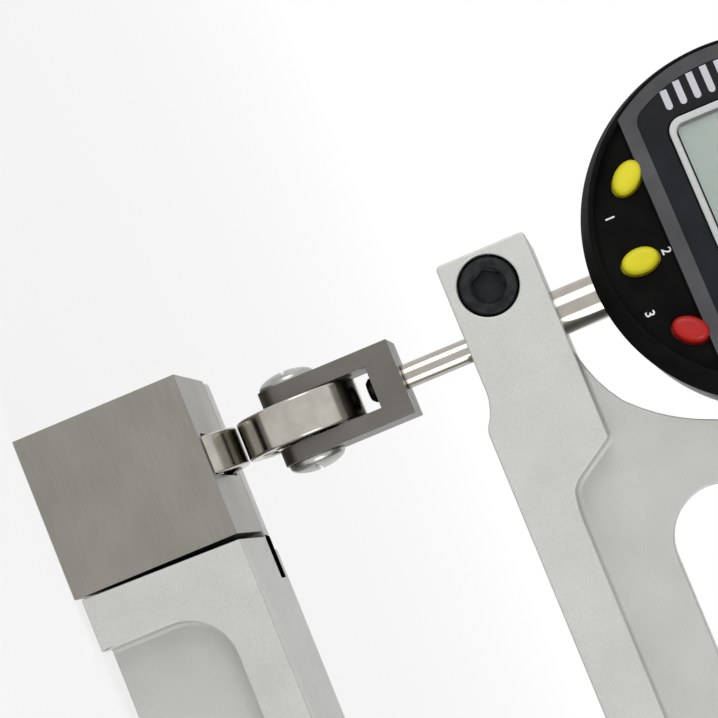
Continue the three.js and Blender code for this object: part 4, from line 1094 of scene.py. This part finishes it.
def inner_face():
    """The charcoal face round the display: a circle cut off above the band, with round corners."""
    radius = BORDER["radius_in"]
    chord = BORDER["band_high"]
    corner = BORDER["corner"]
    centre_z = chord + corner
    centre_x = math.sqrt((radius - corner) ** 2 - centre_z ** 2)
    tangent = math.degrees(math.atan2(centre_z, centre_x))
    points = arc(0, 0, radius, tangent, 180 - tangent, 90)
    points += arc(-centre_x, centre_z, corner, 180 - tangent, 270, 12)
    points += arc(centre_x, centre_z, corner, 270, 360 + tangent, 12)
    return points


def number(figure, x, z, height, name, ink, ground):
    """A printed figure, centred on a place of the face, on the ground at this depth."""
    only(None)
    bpy.ops.object.text_add(location=(0, 0, 0))
    writing = bpy.context.object
    writing.name = name
    writing.data.body = figure
    writing.data.align_x = "CENTER"
    writing.data.align_y = "CENTER"
    writing.data.size = height / 0.69
    writing.data.offset = height * 0.02
    writing.data.extrude = 0.02 * MM
    writing.data.resolution_u = 4
    bpy.ops.object.convert(target="MESH")
    writing = bpy.context.object
    writing.rotation_euler = (math.pi / 2, 0, 0)
    writing.location = (x * MM, (ground - 0.01) * MM, (z + DIAL) * MM)
    bpy.ops.object.transform_apply(location=True, rotation=True, scale=True)
    return dressed(swung(writing), MATERIALS[ink], "silver_trim", "gauge_frame")


class GAUGE_OT_face(bpy.types.Operator):
    """Face film, grey border, silver bars and the plain numbers of the keys"""

    bl_idname = "gauge.face"
    bl_label = "Face"

    def execute(self, context):
        height = context.scene.film_gauge.print_height
        ground = PANEL_FRONT - BORDER["film"]
        face = extruded("face_film", lifted(inner_face()), "y", ground, PANEL_FRONT)
        cut(face, extruded("opening", display_opening(), "y", PANEL_FRONT - 1, PANEL_FRONT + 1))
        smoothed(face)
        dressed(swung(face), MATERIALS["panel"], "black_plastic", "gauge_frame")

        place = (0, 0, DIAL)
        film = PANEL_FRONT - BORDER["band"]
        slope = [(BORDER["radius_in"] - 6, PANEL_FRONT), (BORDER["radius_in"] - 6, film),
                 (BEZEL["facet_in"] - 0.1, film), (BEZEL["facet_out"] - 0.15, BEZEL["front"] + 0.01),
                 (BEZEL["facet_out"] - 0.05, BEZEL["front"] + 0.1),
                 (BEZEL["facet_in"] + 0.2, PANEL_FRONT + 0.1)]
        ring = turned("face_border", "y", slope, place, VERY_FINE)
        chord = 32
        half = BEZEL["facet_in"] * 0.8
        band = extruded("band", lifted([(-half, BORDER["band_low"]), (half, BORDER["band_low"]),
                                        (half, BORDER["band_high"] + 5), (-half, BORDER["band_high"] + 5)]),
                        "y", film, PANEL_FRONT + 0.02)
        joined(ring, band)
        cut(ring, block("below", (-chord, BEZEL["front"] - 2, DIAL - chord),
                        (chord, BEZEL["front"] + 3, DIAL + BORDER["band_low"])),
            extruded("inside", lifted(inner_face()), "y", PANEL_FRONT - 2, PANEL_FRONT + 2))
        machined(ring, 0.08, 2, 25, 28)
        dressed(swung(ring), MATERIALS["border"], "black_plastic", "gauge_frame")

        bars = []
        width = BARS["half"]
        for i in range(BARS["count"]):
            z = BARS["middle"] + BARS["pitch"] * (i - (BARS["count"] - 1) / 2)
            for side in (-1, 1):
                outer = math.sqrt((BORDER["radius_in"] - BARS["spare"]) ** 2 - z * z)
                inner = DISPLAY["width"] / 2 + BARS["gap"]
                tip = arc(inner + width, z, width, 90, 270, 8)
                points = [(side * x, q) for x, q in tip + [(outer, z - width), (outer, z + width)]]
                bars.append(extruded(f"bar_{i}_{side + 1}", lifted(points), "y",
                                     ground - 0.03, ground + 0.01))
        bars = smoothed(merged("silver_bars", bars))
        dressed(swung(bars), MATERIALS["silver_ink"], "silver_trim", "gauge_frame")

        zone = PANEL_FRONT + KEY_ZONE["depth"]
        for figure, x, z in KEY_NUMBERS:
            number(figure, x, z, height, "key_number_" + figure, "white_ink", zone)
        return {"FINISHED"}


ZERO = "abcdef"
DIGIT = {"width": 5.0, "height": 10.0, "stroke": 1.1, "pitch": 7.4, "right": 12.5, "z": 0.5, "count": 3}


def segment(name, digit_x, base_z):
    """The outline of one display segment, a bar with pointed ends."""
    width = DIGIT["width"]
    height = DIGIT["height"]
    half = DIGIT["stroke"] / 2
    ends = {
        "a": ((0, height), (width, height)),
        "d": ((0, 0), (width, 0)), "f": ((0, height / 2), (0, height)),
        "b": ((width, height / 2), (width, height)), "e": ((0, 0), (0, height / 2)),
        "c": ((width, 0), (width, height / 2)),
    }[name]
    start = Vector(ends[0])
    end = Vector(ends[1])
    line = (end - start).normalized()
    side = Vector((-line.y, line.x)) * half
    a = start + line * 0.15
    b = end - line * 0.15
    points = [a, a + line * half + side, b - line * half + side, b, b - line * half - side,
              a + line * half - side]
    return [(digit_x + p.x + (p.y - height / 2) * 0.09, base_z + p.y) for p in points]


class GAUGE_OT_display(bpy.types.Operator):
    """Silver frame, window, display cell and its figures"""

    bl_idname = "gauge.display"
    bl_label = "Display"

    def execute(self, context):
        width = DISPLAY["width"]
        height = DISPLAY["height"]
        border = DISPLAY["border"]
        corner = DISPLAY["corner"]
        centre = DISPLAY["centre"]
        front = low("lcd_frame").y
        back = high("lcd_frame").y
        trim = extruded("lcd_frame_trim", lifted(rounded_box(width, height, corner, centre, 12)),
                        "y", front, back)
        inside = rounded_box(width - 2 * border, height - 2 * border, corner - border + 0.4, centre, 12)
        cut(trim, extruded("inside", lifted(inside), "y", front - 1, back + 1))
        machined(trim, 0.22, 3, 50)
        dressed(swung(trim), MATERIALS["silver"], "silver_trim", "gauge_frame", "lcd_frame")
        panes = (("lcd_window", "lcd_window_pane", "window", "clear_window"),
                 ("lcd_panel", "lcd_cell", "glass", "display_glass"))
        for node, name, look, slot in panes:
            base = low(node)
            crown = high(node)
            outline = rounded_box(crown.x - base.x, crown.z - base.z, 1.0, centre)
            pane = machined(extruded(name, lifted(outline), "y", base.y, crown.y), 0.08, 2)
            dressed(swung(pane), MATERIALS[look], slot, "gauge_frame", node)
        face = low("lcd_panel").y
        parts = []
        base_z = DIAL + DIGIT["z"] - DIGIT["height"] / 2
        for i in range(DIGIT["count"]):
            x = DIGIT["right"] - DIGIT["width"] - DIGIT["pitch"] * i
            for name in ZERO:
                parts.append(extruded("segment", segment(name, x, base_z), "y", face - 0.03, face + 0.01))
        dot_x = DIGIT["right"] - DIGIT["pitch"] * 2 + 0.7
        parts.append(block("point", (dot_x, face - 0.03, base_z - 0.5),
                           (dot_x + 1.0, face + 0.01, base_z + 0.5)))
        figures = merged("display_figures", parts)
        dressed(swung(figures), MATERIALS["segment_ink"], "display_glass", "gauge_frame")
        return {"FINISHED"}


class GAUGE_OT_buttons(bpy.types.Operator):
    """Two yellow buttons and a red one, each domed and on a flange"""

    bl_idname = "gauge.buttons"
    bl_label = "Buttons"

    def execute(self, context):
        for key in KEYS:
            node = "button_" + key[0]
            front = low(node).y
            back = high(node).y
            seat = PANEL_BACK + GAP
            cap = extruded(node + "_cap", lifted(oval(key, 0, 64)), "y", front, seat)
            eased(cap, KEY_ROUNDING, 6, 50)
            flange = extruded("flange", lifted(oval(key, 0.65, 64)), "y", seat, back)
            smoothed(joined(cap, flange), 35)
            dressed(swung(cap), MATERIALS[key[4]], key[5], key[0] + "_key", node)
        return {"FINISHED"}


# The posts of the cover's screws stand on one circle, at these angles
POST_CIRCLE = 27
POSTS = [(POST_CIRCLE * math.cos(math.radians(a)), POST_CIRCLE * math.sin(math.radians(a)))
         for a in (50, 130, 218, 322)]
HOUSING = {"taper": 1, "band": 4, "wall": 2.4}
PAD = {"half": 10, "low": 4.5, "high": 5.1, "root": 0.5}
PORT = {"centre": 1.5, "height": 4.4, "half": 8.4, "thickness": 2.8, "sunk": 0.35, "turn": -35}
COVER = {"edge": 0.9, "screw_head": 3.8, "screw_depth": 1.3}
BATTERY = {"x": 14, "z": -4, "pocket": 6.1, "cap": 7.5, "thickness": 1}


class GAUGE_OT_back(bpy.types.Operator):
    """Housing, back cover with its four screws, battery cap and the cover of the socket"""

    bl_idname = "gauge.back"
    bl_label = "Back"

    def execute(self, context):
        place = (0, 0, DIAL)
        outer = half_width("indicator_housing")
        joint = low("indicator_housing").y
        back = high("indicator_housing").y
        inner = outer - HOUSING["wall"]
        rear = outer - HOUSING["taper"]
        shell = turned("indicator_housing_cast", "y",
                       [(inner, joint), (outer, joint), (outer, joint + HOUSING["band"]), (rear, back),
                        (inner, back)], place, VERY_FINE)
        reach = inner + PAD["root"]
        half = math.degrees(math.asin(PAD["half"] / reach))
        for side, depth in ((-1, PAD["low"]), (1, PAD["high"])):
            edge = arc(0, 0, reach, side * 90 - half, side * 90 + half, 12)
            flat = side * (inner - depth)
            pad = lifted(edge + [(edge[-1][0], flat), (edge[0][0], flat)])
            joined(shell, extruded("pad", pad, "y", joint, back))
        turn = math.radians(PORT["turn"])
        socket = block("socket", (outer - 5, -1, DIAL - 5), (outer + 3, 4, DIAL + 5))
        swing = Matrix.Translation(Vector(place) * MM) @ Matrix.Rotation(turn, 4, "Y")
        swing = swing @ Matrix.Translation(Vector(place) * -MM)
        socket.data.transform(swing)
        cut(shell, rod("stem_hole", "z", STEM_RADIUS + GAP, DIAL - outer - 2, DIAL - inner + 2.5),
            rod("plunger_hole", "z", 2.5, DIAL - inner + 2, DIAL - inner + 6),
            rod("sleeve_hole", "z", 4.8, DIAL + inner - 3.1, DIAL + outer + 2),
            rod("plunger_hole", "z", 2.5, DIAL + inner - 7, DIAL + inner - 3), socket)
        machined(shell, 0.3, 3)
        dressed(swung(shell), MATERIALS["cast_zinc"], "zinc_die_cast", "gauge_frame", "indicator_housing")

        depth = PORT["thickness"]
        cover = extruded("socket_cover", arc(0, 0, outer - PORT["sunk"], -PORT["half"], PORT["half"], 12)
                         + arc(0, 0, outer - depth, PORT["half"], -PORT["half"], 12), "y",
                         PORT["centre"] - PORT["height"] / 2, PORT["centre"] + PORT["height"] / 2)
        cover.data.transform(Matrix.Translation((0, 0, DIAL * MM)) @ Matrix.Rotation(turn, 4, "Y"))
        machined(cover, 0.25, 3)
        dressed(swung(cover), MATERIALS["rubber"], "black_rubber", "gauge_frame", "port_cover")

        face = high("back_cover").y
        cup = low("back_cover").y
        battery = (BATTERY["x"], 0, DIAL + BATTERY["z"])
        edge = half_width("back_cover")
        cover = turned("back_cover_moulded", "y",
                       [(0, back), (edge, back), (edge, face - COVER["edge"]), (edge - COVER["edge"], face),
                        (0, face)],
                       place, VERY_FINE)
        joined(cover, rod("cup", "y", BATTERY["pocket"] + 1.2, cup, face - 0.5, battery))
        cut(cover, rod("pocket", "y", BATTERY["pocket"], cup + 1, face + 1, battery, FINE),
            rod("cap_seat", "y", BATTERY["cap"] + GAP, face - BATTERY["thickness"], face + 1, battery, FINE))
        for x, z in POSTS:
            spot = (x, 0, DIAL + z)
            cut(cover, rod("counterbore", "y", COVER["screw_head"] / 2 + GAP, face - COVER["screw_depth"],
                           face + 1, spot), rod("hole", "y", 1.2, back - 1, face + 1, spot, 32))
        machined(cover, 0.25, 3)
        dressed(swung(cover), MATERIALS["cover"], "black_plastic", "gauge_frame", "back_cover")

        for i, (x, z) in enumerate(POSTS):
            node = f"cover_screw_{i + 1}"
            tip = low(node).y
            seat = face - COVER["screw_depth"]
            head = COVER["screw_head"] / 2
            spot = (x, 0, DIAL + z)
            screw = turned(node + "_cross_head", "y", [(0, face), (head, face), (head, seat), (0.9, seat),
                                                       (0.9, tip), (0, tip)], spot, 48)
            eased(screw, 0.3, 3)
            for wide, tall in ((1.15, 0.22), (0.22, 1.15)):
                cut(screw, block("recess", (x - wide, face - 0.8, DIAL + z - tall),
                                 (x + wide, face + 1, DIAL + z + tall)))
            smoothed(screw)
            dressed(swung(screw), MATERIALS["zinc"], "zinc_plate", "gauge_frame", node)

        inside = low("battery_cap").y
        seat = face - BATTERY["thickness"]
        rim = BATTERY["cap"]
        plug = 5.8
        profile = [(0, face), (rim, face), (rim, seat), (plug, seat), (plug, inside), (0, inside)]
        cap = turned("battery_cap_coin_slot", "y", profile, battery)
        eased(cap, 0.25, 3)
        x, _, z = battery
        cut(cap, block("coin_slot", (x - 4.6, face - 0.6, z - 0.75), (x + 4.6, face + 1, z + 0.75)))
        machined(cap, 0.08)
        dressed(swung(cap), MATERIALS["knob"], "black_plastic", "gauge_frame", "battery_cap")
        return {"FINISHED"}


CARRIED = {
    "contact_strip": "rubber", "key_switch_unit": "rubber",
    "key_switch_mode": "rubber", "key_switch_power": "rubber", "circuit_board": "board",
    "encoder_scale": "board", "scale_carriage": "cast_zinc", "carriage_screw": "oxide",
    "guide_rod": "bearing", "battery": "chrome",
    "upper_roller_ball_cage": "bearing", "lower_roller_ball_cage": "bearing",
}


class GAUGE_OT_inner_pieces(bpy.types.Operator):
    """Gives the pieces that stay inside the real finish of each"""

    bl_idname = "gauge.inner_pieces"
    bl_label = "Inner pieces"

    def execute(self, context):
        for node, look in CARRIED.items():
            mesh = frame["nodes"][node].data
            mesh.materials.clear()
            mesh.materials.append(MATERIALS[look])
        return {"FINISHED"}


class GAUGE_OT_return_spring(bpy.types.Operator):
    """Return spring: a smoothed copy of the imported spring wire in its own finish, with the imported one
    hidden
    """

    bl_idname = "gauge.return_spring"
    bl_label = "Return spring"

    def execute(self, context):
        node = "return_spring"
        spring = bpy.data.objects.new("return_spring_wire", frame["nodes"][node].data.copy())
        spring.data.name = spring.name
        context.collection.objects.link(spring)
        smoothed(cleaned(spring))
        spring.data.materials.clear()
        spring.data.materials.append(MATERIALS["spring"])
        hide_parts(node)
        foot = Vector((0, 0, low(node).z)) * MM
        top = Vector((0, 0, high(node).z)) * MM
        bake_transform(spring)
        return {"FINISHED"}


CAMERA = {"place": (37.3, -475.2, 67.3), "aim": (-6.0, 0.0, 24.3), "lens": 138.7,
          "right": (0.3768, 0.1175, 0.9188)}
FLOOR = {"size": 4.0, "place": (0.05, 0, -0.0002)}
PAPER = {"glow_near": 0.8, "glow_far": 1.0, "near": 0.2, "far": 1.1}

# Light from the world on matt surfaces: two levels, and the part of the direction they lie between
SKY = {"front": (1.0, 0.75, -0.7, 0.3), "top": (1.0, 0.85, -0.1, 0.9)}

# Soft lamps: place and aim in metres, side in metres, share of the lamp power
LAMPS = (
    ("upper_side_lamp", (-0.52, -0.46, 0.13), (0.03, 0, 0.08), 0.5, 1.0),
    ("lower_side_lamp", (0.6, -0.45, 0.12), (0.03, 0, 0.08), 0.5, 1.1),
)


class GAUGE_OT_stage(bpy.types.Operator):
    """Camera, pale floor, white surroundings and soft lamps"""

    bl_idname = "gauge.stage"
    bl_label = "Stage"

    def add_camera(self, context):
        only(None)
        bpy.ops.object.camera_add()
        camera = context.object
        camera.name = "photo_camera"
        camera.data.lens = CAMERA["lens"]
        camera.data.sensor_width = 36
        camera.data.clip_end = 20
        lift = Vector((0, 0, NIP))
        place = Vector(CAMERA["place"]) + lift
        forward = (Vector(CAMERA["aim"]) + lift - place).normalized()
        right = Vector(CAMERA["right"])
        right = (right - forward * right.dot(forward)).normalized()
        up = right.cross(forward)
        turn = Matrix((right, up, -forward)).transposed().to_4x4()
        camera.matrix_world = Matrix.Translation(place * MM) @ turn
        context.scene.camera = camera

    def seen_white(self, tree):
        """1 for the rays that show the background: to the camera, in reflections and through glass."""
        path = add(tree, "ShaderNodeLightPath")
        seen = add(tree, "ShaderNodeMath", {"operation": "ADD"},
                   {0: path.outputs["Is Camera Ray"], 1: path.outputs["Is Glossy Ray"]})
        return add(tree, "ShaderNodeMath", {"operation": "ADD", "use_clamp": True},
                   {0: seen.outputs[0], 1: path.outputs["Is Transmission Ray"]}).outputs[0]

    def add_floor(self):
        only(None)
        bpy.ops.mesh.primitive_plane_add(size=FLOOR["size"], location=FLOOR["place"])
        floor = bpy.context.object
        floor.name = "pale_floor"
        made = bpy.data.materials.new("white_paper_floor")
        made.use_nodes = True
        tree = made.node_tree
        tree.nodes.clear()
        paper = add(tree, "ShaderNodeBsdfDiffuse", {"Color": colour("#F4F4F4")})
        glow = add(tree, "ShaderNodeEmission", {"Color": (1, 1, 1, 1), "Strength": 1.0})
        place = add(tree, "ShaderNodeTexCoord").outputs["Object"]
        distance = add(tree, "ShaderNodeVectorMath", {"operation": "LENGTH"}, {0: place})
        whiteness = levels(tree, distance.outputs["Value"], PAPER["glow_near"], PAPER["glow_far"],
                           PAPER["near"], PAPER["far"])
        share = add(tree, "ShaderNodeMath", {"operation": "MULTIPLY"},
                    {0: self.seen_white(tree), 1: whiteness})
        mixed = add(tree, "ShaderNodeMixShader", links={0: share.outputs[0], 1: paper.outputs[0],
                                                        2: glow.outputs[0]})
        add(tree, "ShaderNodeOutputMaterial", links={"Surface": mixed.outputs[0]})
        floor.data.materials.append(made)

    def add_surroundings(self, context):
        """White all round, with a little less light from the back and from the top on matt surfaces."""
        settings = context.scene.film_gauge
        world = bpy.data.worlds.new("white_surroundings")
        world.use_nodes = True
        tree = world.node_tree
        tree.nodes.clear()
        direction = add(tree, "ShaderNodeTexCoord").outputs["Generated"]
        split = add(tree, "ShaderNodeSeparateXYZ", links={0: direction})
        front = levels(tree, split.outputs["Y"], *SKY["front"])
        top = levels(tree, split.outputs["Z"], *SKY["top"])
        soft = add(tree, "ShaderNodeMath", {"operation": "MULTIPLY"}, {0: front, 1: top})
        soft = add(tree, "ShaderNodeMath", {"operation": "MULTIPLY", 1: settings.daylight},
                   {0: soft.outputs[0]})
        strength = add(tree, "ShaderNodeMix", {"data_type": "FLOAT", 3: 1.0},
                       {0: self.seen_white(tree), 2: soft.outputs[0]})
        sky = add(tree, "ShaderNodeBackground", {"Color": (1, 1, 1, 1)}, {"Strength": strength.outputs[0]})
        add(tree, "ShaderNodeOutputWorld", links={"Surface": sky.outputs[0]})
        context.scene.world = world

    def add_lamp(self, name, place, aim, size, power):
        only(None)
        bpy.ops.object.light_add(type="AREA", location=place)
        lamp = bpy.context.object
        lamp.name = name
        lamp.data.shape = "SQUARE"
        lamp.data.size = size
        lamp.data.energy = power
        lamp.rotation_euler = (Vector(aim) - Vector(place)).to_track_quat("-Z", "Y").to_euler()

    def execute(self, context):
        power = context.scene.film_gauge.key_power
        self.add_camera(context)
        self.add_floor()
        self.add_surroundings(context)
        for name, place, aim, size, share in LAMPS:
            self.add_lamp(name, place, aim, size, power * share)
        context.scene.view_settings.view_transform = "Standard"
        return {"FINISHED"}


class GAUGE_PT_panel(bpy.types.Panel):
    """Lists the gauge's sizes, colours and pieces"""

    bl_label = "Film thickness gauge"
    bl_idname = "GAUGE_PT_panel"
    bl_space_type = "VIEW_3D"
    bl_region_type = "UI"
    bl_category = "Gauge"

    def draw(self, context):
        settings = context.scene.film_gauge
        for name in settings.bl_rna.properties.keys():
            if name not in ("rna_type", "name"):
                self.layout.prop(settings, name)
        for operator in PIECES:
            self.layout.operator(operator.bl_idname)


PIECES = (
    GAUGE_OT_stage, GAUGE_OT_casting, GAUGE_OT_screws, GAUGE_OT_anvil_block, GAUGE_OT_rollers,
    GAUGE_OT_fork, GAUGE_OT_spindle, GAUGE_OT_bezel, GAUGE_OT_face, GAUGE_OT_display,
    GAUGE_OT_buttons, GAUGE_OT_back, GAUGE_OT_inner_pieces, GAUGE_OT_return_spring,
)
CLASSES = (GaugeSettings, *PIECES, GAUGE_PT_panel)


def register():
    for each in CLASSES:
        bpy.utils.register_class(each)
    bpy.types.Scene.film_gauge = bpy.props.PointerProperty(type=GaugeSettings)


def unregister():
    del bpy.types.Scene.film_gauge
    for each in reversed(CLASSES):
        bpy.utils.unregister_class(each)


def main():
    register()
    make_materials()
    for operator in PIECES:
        group, name = operator.bl_idname.split(".")
        getattr(getattr(bpy.ops, group), name)()


if __name__ == "__main__":
    main()
